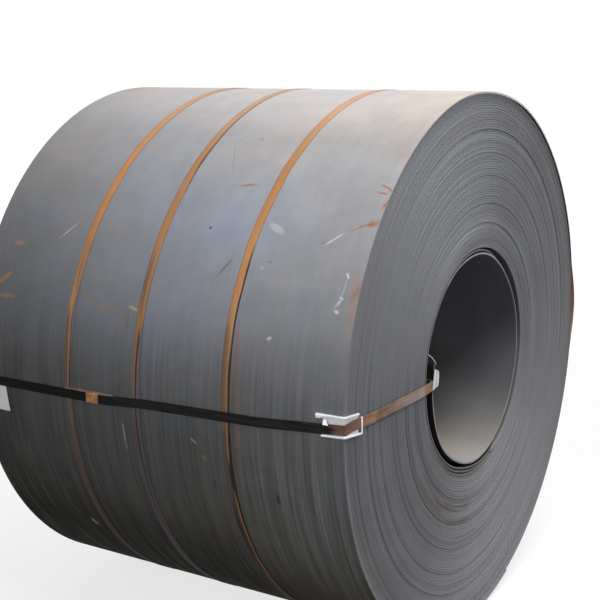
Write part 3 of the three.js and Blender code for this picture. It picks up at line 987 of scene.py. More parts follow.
@dataclass(frozen=True)
class RustyStrap:
    """Rust on a belly band, in lanes that wander a little along it."""

    axis: CoilAxis
    wear: StrapWear
    # where each lane gives way to the next, across the band from -1 to 1
    borders: Knots = ((-0.32, -0.08), (0.08, 0.24), (0.5, 0.7))

    @staticmethod
    def _lane(book: FinishBook, lane: Lane, climb: Channel) -> Channel:
        """Gives the colour of one lane by its height on the coil."""
        row = ((-90, lane[0][1]), *lane, (90, lane[-1][1]))
        return book.slope(climb, [(rise, tone.value) for rise, tone in row])

    def make(self, name: str) -> bpy.types.Material:
        """Builds the material.

        Args:
            name: Name of the band.

        Returns:
            The material.
        """
        book = FinishBook(f"rust_{name}")
        place = book.place()
        _, _, z = book.split(place)
        patches = book.speckle(place, 11.0, 5.0, 0.62, 0.36, 0.64)
        streaks = book.streaks(place, (330.0, 8.0, 8.0), 3.0)
        grain = book.speckle(place, 160.0, 4.0, 0.7, 0.3, 0.7)
        wander = book.speckle(place, 4.0, 2.0, 0.5, 0.3, 0.7)
        across = book.reading("across")
        margin = across.absolute().ease(0.72, 1.0)
        across = across + (wander - 0.5) * 0.3
        climb = (z - self.axis.z) / BAND_RADIUS + (patches - 0.5) * 0.04
        wear = self.wear
        colour, *lanes = (self._lane(book, lane, climb) for lane in (wear.left, wear.middle, wear.right, wear.edge))
        for (low, high), lane in zip(self.borders, lanes):
            colour = book.blend(across.ease(low, high), colour, lane)
        # the level is painted light and shade by the climb
        colour = book.shade(book.tint(colour, wear.tint), book.slope(climb, wear.level))
        colour = book.blend(patches * 0.35, colour, book.tint(colour, (0.8, 0.78, 0.95)))
        colour = book.shade(colour, 0.8 + 0.16 * grain + 0.16 * streaks + 0.16 * patches - 0.26 * margin)
        # pale dust over the top, with a painted sheen where the top catches the light
        dust_and_sheen = z.ease(self.axis.z + 0.72, self.axis.z + 0.95)
        colour = book.blend(dust_and_sheen * 0.35, colour, (0.5, 0.4, 0.33))
        return book.surface(colour, 0.75 + 0.15 * grain, 0.0, 1.4, book.relief(grain + streaks, 0.0004, 0.5), 0.2)


@dataclass(frozen=True)
class BlackStrap:
    """Black painted strap, browned by rust where it crosses the ends of the coil.

    middle is its height on the ends, and rusts gives its tones there, from the outer corner inwards along Y.
    """

    middle: float
    rusts: tuple[tuple[float, Colour], ...] = (
        (-0.975, (0.22, 0.125, 0.1)), (-0.9, (0.3, 0.168, 0.142)), (-0.85, (0.5, 0.27, 0.18)),
        (-0.7, (0.48, 0.33, 0.24)), (-0.62, (0.39, 0.28, 0.25)), (-0.5, (0.44, 0.36, 0.33)),
        (-0.46, (0.5, 0.37, 0.33)), (-0.44, (0.47, 0.27, 0.167)), (-0.38, (0.5, 0.35, 0.25)))

    def make(self) -> bpy.types.Material:
        """Builds the material.

        Returns:
            The material of the eye band.
        """
        book = FinishBook("black_strap")
        place = book.place()
        x, y, z = book.split(place)
        streaks = book.streaks(place, (5.0, 5.0, 260.0), 3.0)
        patches = book.speckle(place, 9.0, 5.0, 0.6, 0.38, 0.62)
        grain = book.speckle(place, 180.0, 3.0)
        paint = book.blend(streaks, (0.004, 0.004, 0.005), (0.011, 0.011, 0.012))
        scuffs = book.streaks(place, (9.0, 9.0, 110.0), 4.0, 0.6, 0.4, 0.68)
        # lighter towards the front: dust, with painted light that fades towards the back
        dust_and_painted_light = x.ease(-0.35, 0.05)
        paint = book.blend(dust_and_painted_light * (0.45 + 0.55 * scuffs) * 0.55, paint, (0.055, 0.052, 0.052))
        paint = book.blend(scuffs * x.ease(0.3, 0.7) * 0.5, paint, (0.075, 0.06, 0.052))
        rust = book.ramp(y, self.rusts)
        upper = (z - self.middle).ease(0.004, 0.013) * y.ease(-0.75, -0.65)
        rust = book.blend(upper * 0.7, rust, (0.42, 0.26, 0.16))
        rust = book.blend(patches, book.tint(rust, (0.86, 0.82, 0.8)),
                          book.tint(rust, (1.12, 1.14, 1.16)))
        rust = book.shade(rust, 0.84 + 0.18 * streaks + 0.12 * grain)
        on_end = (x.absolute() + (patches - 0.5) * 0.03 + (scuffs - 0.5) * 0.02).ease(0.7, 0.75)
        chips = book.speckle(place, 40.0, 5.0, 0.7, 0.68, 0.76) * 0.35
        amount = (on_end + chips).minimum(1.0)
        colour = book.blend(amount, paint, rust)
        return book.surface(colour, 0.5 + 0.25 * amount, 0.0, 1.33, book.relief(streaks + grain, 0.0003, 0.4), 0.07)


@dataclass(frozen=True)
class SealRust:
    """Brown rust on a crimped seal or a strap's cut end."""

    name: str = "seal_rust"
    dark: Colour = (0.36, 0.15, 0.065)
    light: Colour = (0.6, 0.28, 0.12)

    def make(self) -> bpy.types.Material:
        """Builds the material.

        Returns:
            The material of the seals.
        """
        book = FinishBook(self.name)
        place = book.place()
        patches = book.speckle(place, 45.0, 5.0, 0.6, 0.35, 0.65)
        grain = book.speckle(place, 220.0, 4.0, 0.7, 0.3, 0.7)
        colour = book.blend(patches, self.dark, self.light)
        colour = book.shade(colour, 0.8 + 0.3 * grain)
        return book.surface(colour, 0.7, 0.0, 1.45, book.relief(grain + patches, 0.0006, 0.6))


@dataclass(frozen=True)
class ZincSheet:
    """Bright galvanised sheet of the edge protectors."""

    def make(self) -> bpy.types.Material:
        """Builds the material.

        Returns:
            The material of the edge protectors.
        """
        book = FinishBook("zinc_sheet")
        place = book.place()
        flakes = book.node("ShaderNodeTexVoronoi", {"feature": "F1"}, {"Vector": place, "Scale": 140.0},
                           output="Color")
        flake, _, _ = book.split(flakes)
        dirt = book.speckle(place, 38.0, 5.0, 0.65, 0.5, 0.75)
        # -1 for a painted shadow on the leg in the eye, 0 on the plain sheet, 1 on rolled rims and 2 on the bent tab
        shine = book.reading("shine")
        colour = book.ramp(shine, (
            (-1, (0.05, 0.05, 0.055)), (0, (0.62, 0.635, 0.64)), (1, (0.84, 0.86, 0.87)), (2, (0.95, 0.96, 0.97))))
        colour = book.shade(colour, 0.9 + 0.16 * flake)
        colour = book.blend(dirt * (0.26 - 0.1 * shine), colour, (0.3, 0.295, 0.28))
        return book.surface(colour, 0.3 + 0.12 * flake + 0.2 * dirt, 0.45, 1.5, book.relief(flake, 0.0002, 0.3))


@dataclass(frozen=True)
class LabelCard:
    """Plain white card, a little soiled."""

    def make(self) -> bpy.types.Material:
        """Builds the material.

        Returns:
            The material of the label.
        """
        book = FinishBook("label_card")
        place = book.place()
        fibres = book.speckle(place, 240.0, 3.0)
        soil = book.speckle(place, 30.0, 4.0, 0.6, 0.5, 0.75)
        colour = book.blend(fibres, (0.9, 0.9, 0.91), (0.96, 0.96, 0.96))
        colour = book.blend(soil * 0.25, colour, (0.6, 0.61, 0.66))
        return book.surface(colour, 0.65, 0.0, 1.45, book.relief(fibres, 0.0002, 0.3))


# ---------------------------------------------------------------- wound steel


class CornerKind(Enum):
    """Where a corner of the wound section lies."""

    GAP = "in the gap between two laps"
    EDGE = "on the edge of a lap"
    OUTSIDE = "on the outside of the last lap"


class CoilSlot(IntEnum):
    """The finishes of the tight laps, in order."""

    OUTSIDE = 0
    EDGES = 1
    EYE = 2
    RUSTED = 3
    GAPS = 4


class LooseSlot(IntEnum):
    """The finishes of the loose laps, in order."""

    INNER = 0
    RUBBED = 1
    EDGES = 2
    OUTER = 3


@dataclass
class WoundSteel:
    """The wound laps: one strip laid in a spiral, with stepped ends and a sprung outer edge."""

    axis: CoilAxis
    half_length: float = HALF_LENGTH
    radius: float = COIL_RADIUS
    gauge: float = GAUGE
    steps: int = 180
    # laps that moved together sideways in the roll, from the eye outward, and how many mm their edges stand back
    groups: tuple[tuple[int, float], ...] = (
        (10, 0.4), (2, 2.4), (8, 0.0), (1, 2.2), (10, 0.4), (2, 1.8), (9, 0.0), (1, 2.0), (8, 0.4), (2, 2.4),
        (8, 0.0), (2, 1.8), (5, 0.8), (1, 0.0))
    tail: float = math.radians(-70)
    gap_share: float = 0.1
    gap_depth: float = 0.0016
    # the sprung outer lap: how far in from the end plane it lifts, in what shares, how deep the gap behind
    # it is, and how much of its lift the floor of that gap takes
    sprung_reach: float = 0.34
    reach_shares: tuple[float, ...] = (0.0, 0.12, 0.25, 0.4, 0.6, 0.8, 1.0)
    sprung_gap: float = 0.15
    sprung_share: float = 0.3
    # its bulge and the degrees that it covers, and its lower rise beyond
    bulge: float = 28 * MM
    bulge_from: float = -9
    bulge_to: float = 17
    rim_rise: float = 7.5 * MM
    # how far in mm the tight laps at the eye lie off their round, by the degrees from the +Y side
    eye_shape: Knots = (
        (0, -23.3), (10, -20.5), (20, -18.3), (30, -14.8), (40, -9.8), (50, -6.2), (60, -2.1), (72, 4.0),
        (88, 12.5), (104, 22.0), (121, 30.4), (140, 37.0), (159, 40.4), (170, 37.0), (183, 29.4), (199, 19.4),
        (212, 6.4), (222, -1.6), (237, -10.0), (245, -15.0), (253, -18.0), (267, -20.0), (279, -21.0),
        (290, -22.0), (304, -18.6), (318, -20.5), (330, -24.0), (340, -27.0), (350, -25.7), (360, -23.3),
        (370, -20.5))
    eye_reach: float = 20.0

    def __post_init__(self) -> None:
        """Works out the number of laps and the radius at which they start."""
        self.laps = sum(laps for laps, _ in self.groups)
        self.start = self.radius - self.gauge * (self.laps + 1)
        self.knots, at = [], 0.0
        for laps, back in self.groups:
            self.knots += [(at + 0.12, back * MM), (at + laps - 0.12, back * MM)]
            at += laps
        self.shift = [MM * curve(self.eye_shape, math.degrees(self.turn_angle(row)) % FULL_TURN)
                      for row in range(self.steps + 1)]

    def turn_angle(self, row: int) -> float:
        """Gives the angle of a row of corners round the coil."""
        return self.tail + 2 * math.pi * row / self.steps

    def lap_radius(self, laps: float, row: int) -> float:
        """Gives the radius that many laps out from the eye.

        Args:
            laps: Laps from the inner face of the innermost tight lap.
            row: Row of corners round the coil.

        Returns:
            The radius, which climbs by one gauge in the first quarter past the tail.
        """
        off = self.shift[row] * max(0.0, 1 - (laps + row / self.steps) / self.eye_reach)
        return self.start + self.gauge * (laps + smooth(0.0, 0.25, row / self.steps)) + off

    def setback(self, laps: int, row: int, end: int) -> float:
        """Gives how far the strip's edge stands back from the end plane.

        Args:
            laps: Whole laps from the eye.
            row: Row of corners round the coil.
            end: 1 at the front and -1 at the back.

        Returns:
            The distance in metres.
        """
        wound = laps + row / self.steps
        least, most, widest = (0.72, 0.28, 60) if end > 0 else (0.75, 0.25, 150)
        swell = least + most * math.cos(2 * (self.turn_angle(row) - math.radians(widest)))
        group = between(self.knots, wound) * swell
        loose = noise.noise(Vector((wound * 1.7, end * 9.0, 0.0)))
        fine = noise.noise(Vector((wound * 4.3, end * 5.0, 7.0)))
        return group + 0.00099 * (loose + 0.6) + 0.0006 * (fine + 0.5)

    def lift(self, row: int) -> tuple[float, float]:
        """Gives how far the outermost lap has sprung at the front edge.

        Args:
            row: Row of corners round the coil.

        Returns:
            The lift in metres, and how open the gap behind it is from 0 to 1.
        """
        angle = math.degrees(self.turn_angle(row))
        high = self.rim_rise * smooth(8, 26, angle) * smooth(84, 60, angle)
        if self.bulge_from < angle < self.bulge_to:
            share = (angle - self.bulge_from) / (self.bulge_to - self.bulge_from)
            high = max(high, self.bulge * math.sin(math.pi * share) ** 2)
        return high, smooth(0.0, 6 * MM, high)

    def _columns(self) -> list[tuple[CornerKind, float, int]]:
        """Lists the corners of the section.

        Returns:
            The kind of each, its laps from the eye or share of the sprung reach, and its end.
        """
        front = [(kind, lap + share, 1) for lap in range(self.laps) for kind, share in (
            (CornerKind.GAP, 0), (CornerKind.EDGE, self.gap_share), (CornerKind.EDGE, 1 - self.gap_share))]
        outside = [(CornerKind.OUTSIDE, share, 1) for share in self.reach_shares]
        back = [(kind, laps, -1) for kind, laps, _ in reversed(front)]
        return front + outside + [(CornerKind.OUTSIDE, 0.0, -1)] + back

    def _corner(self, kind: CornerKind, at: float, end: int, row: int) -> Vector:
        """Places one corner of the section.

        Args:
            kind: Where it lies.
            at: Laps from the eye, or share of the sprung reach on the outside.
            end: 1 at the front and -1 at the back.
            row: Row of corners round the coil.

        Returns:
            Its place.
        """
        angle = self.turn_angle(row)
        high, open_gap = self.lift(row) if end > 0 else (0.0, 0.0)
        if kind is CornerKind.OUTSIDE:
            back = max(self.setback(self.laps - 1, row, end), self.setback(self.laps, row, end)) + self.gap_depth
            radius = self.lap_radius(self.laps, row)
            if end < 0:
                return self.axis.point(-self.half_length + back, radius, angle)
            x = self.half_length - back - at * (self.sprung_reach - back)
            return self.axis.point(x, radius + high * (1 - at) ** 2, angle)
        back = self.setback(math.floor(at), row, end)
        radius = self.lap_radius(at, row)
        if kind is CornerKind.GAP:
            back = max(back, self.setback(at - 1, row, end)) + self.gap_depth
            if at == self.laps - 1 and end > 0:
                back += open_gap * self.sprung_gap
                radius += high * self.sprung_share
        elif at > self.laps - 1:
            radius += high
        return self.axis.point(end * (self.half_length - back), radius, angle)

    def build(self, finishes: Sequence[bpy.types.Material]) -> bpy.types.Object:
        """Builds the tight laps.

        Args:
            finishes: Outside, lap edges, eye, rusted lap and gaps, in that order.

        Returns:
            The coil's object.
        """
        piece = Piece("wound_laps")
        lap, gap = piece.layer("lap"), piece.layer("gap")
        columns = self._columns()
        count = len(columns)

        def place(column: int, row: int) -> Vector:
            """Places a corner, the last column closing on the first."""
            return self._corner(*columns[column % count], row)

        for vert, column, row in piece.rolled_grid(count, self.steps, place):
            kind, at, _ = columns[column % count]
            vert[lap] = (self.laps if kind is CornerKind.OUTSIDE else at) + row / self.steps
            vert[gap] = float(kind is CornerKind.GAP)
        piece.close()
        self._dress(piece)
        return piece.finish(finishes, "steel", ["coil"], sharp=28)

    def _dress(self, piece: Piece) -> None:
        """Gives each face the slot of its side of the coil.

        Args:
            piece: The tight laps.
        """
        for face in piece.bm.faces:
            middle, turn, facing = self.axis.facing(face)
            radius = middle.yz.length
            if facing > 0.9 and radius > self.radius - 1.5 * self.gauge:
                face.material_index = CoilSlot.OUTSIDE
            elif facing < -0.5 and abs(middle.x) < 0.3:
                face.material_index = CoilSlot.EYE
            elif middle.x > 0.55 and radius > self.radius - 0.75 * self.gauge and facing < -0.4:
                # inside the lifted outer lap: rust at the bulge, painted shade of the gaps elsewhere
                face.material_index = CoilSlot.RUSTED if self.bulge_from - 2 < turn < self.bulge_to else CoilSlot.GAPS
            else:
                face.material_index = CoilSlot.EDGES


@dataclass
class LooseLaps:
    """The innermost laps of the strip, sprung up in the eye, from its free end until they join the tight laps."""

    axis: CoilAxis
    half_length: float = HALF_LENGTH
    gauge: float = GAUGE
    steps: int = 560
    ease: float = 0.0012
    # edges are paler up to this angle, and those that stand back by more than this take the painted shade of the gaps
    pale_to: float = 490
    dark_from: float = 0.019
    # degrees from the +Y side, counted on from turn to turn, with its inner radius and its edge's setback in mm
    course: tuple[tuple[float, float, float], ...] = (
        (176, 374, 0.8), (192, 370, 0.8), (214, 367, 0.8), (230, 356.5, 0.8), (240, 351, 0.8), (252, 348.3, 0.8),
        (265, 349, 0.8), (278, 347.5, 0.8), (286, 346.5, 0.8), (297, 343, 0.8), (310, 341.5, 0.8),
        (335, 341.5, 0.8), (350, 343.5, 0.8), (361, 346, 0.8), (373, 349.5, 0.8), (385, 354, 0.8),
        (395, 356.5, 0.8), (405, 359.5, 0.8), (415, 365, 0.8), (427, 376, 0.8), (436, 386, 0.8), (444, 393.5, 0.8),
        (452, 399.5, 0.8), (464, 408, 0.8), (472, 414.5, 0.8), (481, 421.5, 0.8), (500, 429, 0.8),
        (519, 432.5, 0.8), (530, 430, 0.8), (543, 421.5, 1), (559, 410.5, 2), (572, 398, 3), (582, 389.6, 3),
        (597, 378, 3), (613, 367, 3), (627, 366.5, 3), (639, 369, 3), (652, 369.5, 5), (664, 369, 15),
        (676, 368, 24), (702, 367, 28), (720, 368, 28), (740, 369, 28), (754, 372, 28), (768, 378, 25),
        (780, 387, 20), (792, 396, 13), (808, 408.5, 6), (816, 414.5, 4), (824, 420, 2), (841, 431, 1),
        (860, 437.5, 1), (879, 441.5, 1), (890, 439, 1), (903, 430.5, 1.5), (919, 419.5, 2.5), (932, 407, 3),
        (942, 399, 3), (957, 389, 3), (973, 379, 3), (987, 379, 3), (999, 378.5, 3), (1009.5, 379.3, 3))

    def _inner(self, angle: float) -> float:
        """Gives the inner radius at an angle that counts on past a full turn."""
        return MM * curve([knot[:2] for knot in self.course], math.degrees(angle))

    def _setback(self, angle: float) -> float:
        """Gives how far the edges stand back at an angle."""
        return MM * curve([knot[::2] for knot in self.course], math.degrees(angle))

    def build(self, finishes: Sequence[bpy.types.Material]) -> bpy.types.Object:
        """Builds the loose laps.

        Args:
            finishes: Inner face, pale edge of the first turn, other edges and outer face, in that order.

        Returns:
            Their object.
        """
        piece = Piece("loose_laps")
        start, end = self.course[0][0], self.course[-1][0]
        gauge, ease = self.gauge, self.ease
        front = ((1, 0, ease), (1, ease, 0), (1, gauge - ease, 0), (1, gauge, ease))
        section = front + tuple((-1, out, back) for _, out, back in front[::-1])

        def place(column: int, row: int) -> Vector:
            """Places a corner of the strip's section."""
            side, out, back = section[column % len(section)]
            angle = math.radians(start + (end - start) * row / self.steps)
            x = side * (self.half_length - self._setback(angle) - back)
            return self.axis.point(x, self._inner(angle) + out, angle)

        piece.rolled_grid(len(section), self.steps, place)
        piece.close()
        for face in piece.bm.faces:
            middle, turn, facing = self.axis.facing(face)
            turn = (turn - start) % FULL_TURN + start
            inner = middle.yz.length < self._inner(math.radians(turn)) + 1.3 * gauge
            dark = middle.x > 0 and abs(facing) < 0.5 and middle.x < self.half_length - self.dark_from
            # the outer face and the deep-set edges take the painted shade of the gaps
            if facing > 0.6 or dark:
                face.material_index = LooseSlot.OUTER
            elif facing < -0.9:
                face.material_index = LooseSlot.INNER if inner else LooseSlot.OUTER
            else:
                face.material_index = LooseSlot.RUBBED if inner and turn < self.pale_to else LooseSlot.EDGES
        return piece.finish(finishes, "steel")


# ---------------------------------------------------------------- straps


def strap_section(half: float, thickness: float) -> Knots:
    """Lists the corners of a strap's section.

    Args:
        half: Half its width.
        thickness: Its thickness.

    Returns:
        Pairs of a place across the strap and a height above its underside.
    """
    ease = 0.0004
    right = ((half - ease, 0), (half, ease), (half, thickness - ease), (half - 2 * ease, thickness))
    left = tuple((-across, out) for across, out in right)
    return (left[1], left[0], *right, left[3], left[2])


@dataclass
class BellyBand:
    """A strap round the outside of the coil, which leans a little to the front over the top."""

    name: str
    lean: float
    axis: CoilAxis
    steel: WoundSteel
    thickness: float = STRAP_THICKNESS
    half_width: float = 0.016
    wander: float = 0.0009
    # degrees over which the strap comes down from the strip's tail
    bridge: float = 7.4
    # degrees from the +Y side over the top, and the shift to the front in metres
    course: Knots = (
        (45, 0.0), (100, 0.027), (112, 0.025), (122, 0.02), (134, 0.012), (150, 0.001), (165, -0.007),
        (200, -0.009), (235, -0.007), (260, 0.0))

    def __post_init__(self) -> None:
        """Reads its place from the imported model."""
        low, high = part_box(self.name)
        self.outer = (high.z - low.z) / 2
        low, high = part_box(self.name.replace("band", "seal"))
        self.middle = (low.x + high.x) / 2

    def centre(self, angle: float) -> float:
        """Gives the place along the coil of the strap's middle at an angle in radians."""
        drift = self.wander * math.sin(3 * angle + self.middle * 11)
        return self.middle + self.lean * between(self.course, math.degrees(angle) % FULL_TURN) + drift

    def build(self, finish: bpy.types.Material) -> bpy.types.Object:
        """Builds the band.

        Args:
            finish: Its material.

        Returns:
            Its object.
        """
        piece = Piece(f"{self.name}_strap")
        half = self.half_width
        section = strap_section(half, self.thickness)
        inner = self.outer - self.thickness
        steel = self.steel

        def place(column: int, row: int) -> Vector:
            """Places a corner of the strap's section."""
            across, out = section[column % len(section)]
            angle = steel.turn_angle(row % steel.steps)
            past = math.degrees(angle - steel.tail)
            dent = steel.gauge * (1 - smooth(0.0, 0.25, past / FULL_TURN))
            held = steel.gauge * (1 - past / self.bridge) ** 2 if past < self.bridge else 0.0
            return self.axis.point(self.centre(angle) + across, inner - max(0.0, dent - held) + out, angle)

        piece.rolled_grid(len(section), steel.steps, place)
        piece.close()
        across = piece.layer("across")
        for vert in piece.bm.verts:
            angle = math.atan2(vert.co.z - self.axis.z, vert.co.y - self.axis.y)
            vert[across] = (vert.co.x - self.centre(angle)) / half
        return piece.finish((finish,), "rusty_strap", [self.name])


@dataclass
class EyeBand:
    """The strap down the outside, over both ends and back through the eye."""

    axis: CoilAxis
    thickness: float = STRAP_THICKNESS
    width: float = 0.032
    face_width: float = 0.0345
    seat: float = 0.0022
    height: float = 0.008
    half_length: float = HALF_LENGTH
    arc_steps: int = 8
    # height above the axis by the distance behind the front end
    course: Knots = ((0.0, 0.008), (0.3, -0.014), (0.75, -0.025), (0.91, -0.037), (1.5, -0.038))
    # rise in mm where it crosses an end, by the share of the way from the outer corner to the eye
    bow: Knots = (
        (0.0, 0.0), (0.02, 2.0), (0.12, 2.0), (0.26, -2.0), (0.58, -2.5), (0.82, -2.5), (0.92, 0.5), (0.98, 4.0),
        (1.0, 4.5))

    def __post_init__(self) -> None:
        """Reads the two runs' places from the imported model."""
        low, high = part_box("eye_band")
        self.side = low.y + self.seat + self.thickness
        self.wall = high.y - self.seat - self.thickness

    def course_height(self, x: float) -> float:
        """Gives the height above the axis of the run outside the coil."""
        return ramp(self.course, min(2 * self.half_length, max(0.0, self.half_length - x)))

    def face_bow(self, x: float, y: float) -> float:
        """Gives how far it strays up from its height where it crosses the coil's ends."""
        if abs(x) < self.half_length - 0.02:
            return 0.0
        inward = min(1.0, max(0.0, (y - self.side) / (self.wall - self.side)))
        return MM * curve(self.bow, inward)

    def band_height(self, x: float, y: float) -> float:
        """Gives the height above the axis anywhere on the loop."""
        outward = min(1.0, max(0.0, (self.wall - y) / (self.wall - self.side)))
        return self.height + outward * (self.course_height(x) - self.height)

    def stations(self) -> list[tuple[Vector, Vector]]:
        """Lists places round the loop, each with the way that faces out.

        Returns:
            Pairs of a place on the steel and a direction, with Z left at 0.
        """
        found: list[tuple[Vector, Vector]] = []
        corners = ((1, self.side, -90), (1, self.wall, 0), (-1, self.wall, 90), (-1, self.side, 180))
        for index, (end, y, start) in enumerate(corners):
            for step in range(self.arc_steps + 1):
                angle = math.radians(start + 90 * step / self.arc_steps)
                out = Vector((math.cos(angle), math.sin(angle), 0))
                found.append((Vector((end * self.half_length, y, 0)), out))
            next_end, next_y, _ = corners[(index + 1) % 4]
            here, there = found[-1][0], Vector((next_end * self.half_length, next_y, 0))
            cuts = 24 if index == 3 else 16
            shares = {cut / cuts for cut in range(1, cuts)}
            if index == 3:
                shares |= {1 - back / (2 * self.half_length) for back, _ in self.course[1:-1]}
            found += [(here.lerp(there, share), out) for share in sorted(shares)]
        return found

    def build(self, finish: bpy.types.Material) -> bpy.types.Object:
        """Builds the strap.

        Args:
            finish: Its material.

        Returns:
            Its object.
        """
        piece = Piece("eye_strap")
        stations = self.stations()
        section = strap_section(self.width / 2, self.thickness)

        def place(column: int, row: int) -> Vector:
            """Places a corner of the strap's section."""
            across, out = section[column % len(section)]
            at, way = stations[row % len(stations)]
            point = at + way * (self.seat + out)
            wide = self.face_width / self.width if abs(way.x) > 0.9 else 1.0
            point.z = self.axis.z + self.band_height(point.x, point.y) + self.face_bow(at.x, at.y) + across * wide
            return point

        piece.rolled_grid(len(section), len(stations), place)
        piece.close()
        return piece.finish((finish,), "black_strap", ["eye_band"], sharp=20)


@dataclass
class StrapTail:
    """The cut end of the eye band that looks out above its seal."""

    axis: CoilAxis
    band: EyeBand
    start: float = -0.335
    end: float = -0.125
    width: float = 0.011
    thickness: float = STRAP_THICKNESS

    def build(self, finish: bpy.types.Material) -> bpy.types.Object:
        """Builds the strap's end.

        Args:
            finish: Its material.

        Returns:
            Its object.
        """
        piece = Piece("strap_tail")
        steps = 12

        def place(column: int, row: int) -> Vector:
            """Places a corner of the strap's end."""
            x = self.start + (self.end - self.start) * row / steps
            run = math.sin(math.pi * row / steps)
            low = self.band.course_height(x) + self.band.width / 2 - 0.003
            top = low + self.width * (0.65 + 0.35 * run)
            high, out = ((low, 0), (top, 0), (top, 1), (low, 1))[column % 4]
            surface = self.band.side - 0.0006 - self.thickness * out
            return Vector((x, surface, self.axis.z + high))

        piece.rolled_grid(4, steps, place)
        piece.close()
        return piece.finish((finish,), "rusty_seal")


@dataclass
class StrapSeal:
    """A sheet saddled over a strap, its sides crimped in three places."""

    node: str
    axis: CoilAxis
    wall: float = 0.0012
    notch: float = 0.0011
    rounding: float = 0.0012
    belly_length: float = 0.052
    belly_height: float = 0.0031
    # places of the crimps along the seal and their width, as shares of its length
    crimps: tuple[float, ...] = (-0.27, 0.0, 0.27)
    crimp_width: float = 0.035

    def build(self, finish: bpy.types.Material) -> bpy.types.Object:
        """Builds the seal in its CAD node's place.

        Args:
            finish: Its material.

        Returns:
            Its object.
        """
        low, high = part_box(self.node)
        middle = (low + high) / 2
        if self.node == "eye_band_seal":
            length, width, tall = high.x - low.x, high.z - low.z - 0.0006, high.y - low.y
            turn = Matrix.Rotation(math.pi, 4, "X") @ Matrix.Rotation(math.pi / 2, 4, "Y")
        else:
            length, width, tall = self.belly_length, high.x - low.x, self.belly_height
            turn = Matrix.Rotation(math.atan2(middle.z - self.axis.z, middle.y - self.axis.y), 4, "X")
        piece = Piece(f"{self.node}_sheet")
        profile = self._profile(width / 2, tall)
        steps = 26

        def place(column: int, row: int) -> Vector:
            """Places a corner of the seal, before it is turned to its side of the coil."""
            across, out = profile[column]
            along = row / steps - 0.5
            crimp = sum(math.exp(-((along - at) / self.crimp_width) ** 2) for at in self.crimps)
            pinch = 1 - self.notch * 1.4 * crimp / (width / 2) * (abs(across) / (width / 2)) ** 4
            return Vector((across * pinch, out, along * length))

        piece.rolled_grid(len(profile) - 1, steps, place)
        piece.thicken(self.wall, 1)
        bmesh.ops.transform(piece.bm, matrix=turn, verts=piece.bm.verts)
        ys, zs = [vert.co.y for vert in piece.bm.verts], [vert.co.z for vert in piece.bm.verts]
        shift = middle - Vector((0.0, (min(ys) + max(ys)) / 2, (min(zs) + max(zs)) / 2))
        bmesh.ops.translate(piece.bm, vec=shift, verts=piece.bm.verts)
        return piece.finish((finish,), "rusty_seal", [self.node], sharp=50)

    def _profile(self, half: float, tall: float) -> list[tuple[float, float]]:
        """Lists the outer corners of the seal's section, foot to foot, with rounded shoulders."""
        ease = self.rounding
        left = [(-half, -tall / 2), (-half, tall / 2 - ease), (-half + ease * 0.3, tall / 2 - ease * 0.3),
                (-half + ease, tall / 2)]
        crown = [(-half + 2 * half * share, tall / 2) for share in (0.25, 0.5, 0.75)]
        return left + crown + [(-across, out) for across, out in reversed(left)]


# ---------------------------------------------------------------- edge protectors


@dataclass(frozen=True)
class RimPoint:
    """A corner of a protector's section: the edge it is measured from, how far in, and how proud of the steel."""

    top: bool
    inset: float
    out: float


# The way over a corner as shares of the leg and of the face, with an arc of so many steps between them.
LEG_SHARES = (1.0, 0.85, 0.7, 0.5, 0.3, 0.12, 0.0)
FACE_SHARES = (0.12, 0.3, 0.5, 0.7, 0.85, 1.0)
ARC_STEPS = 6


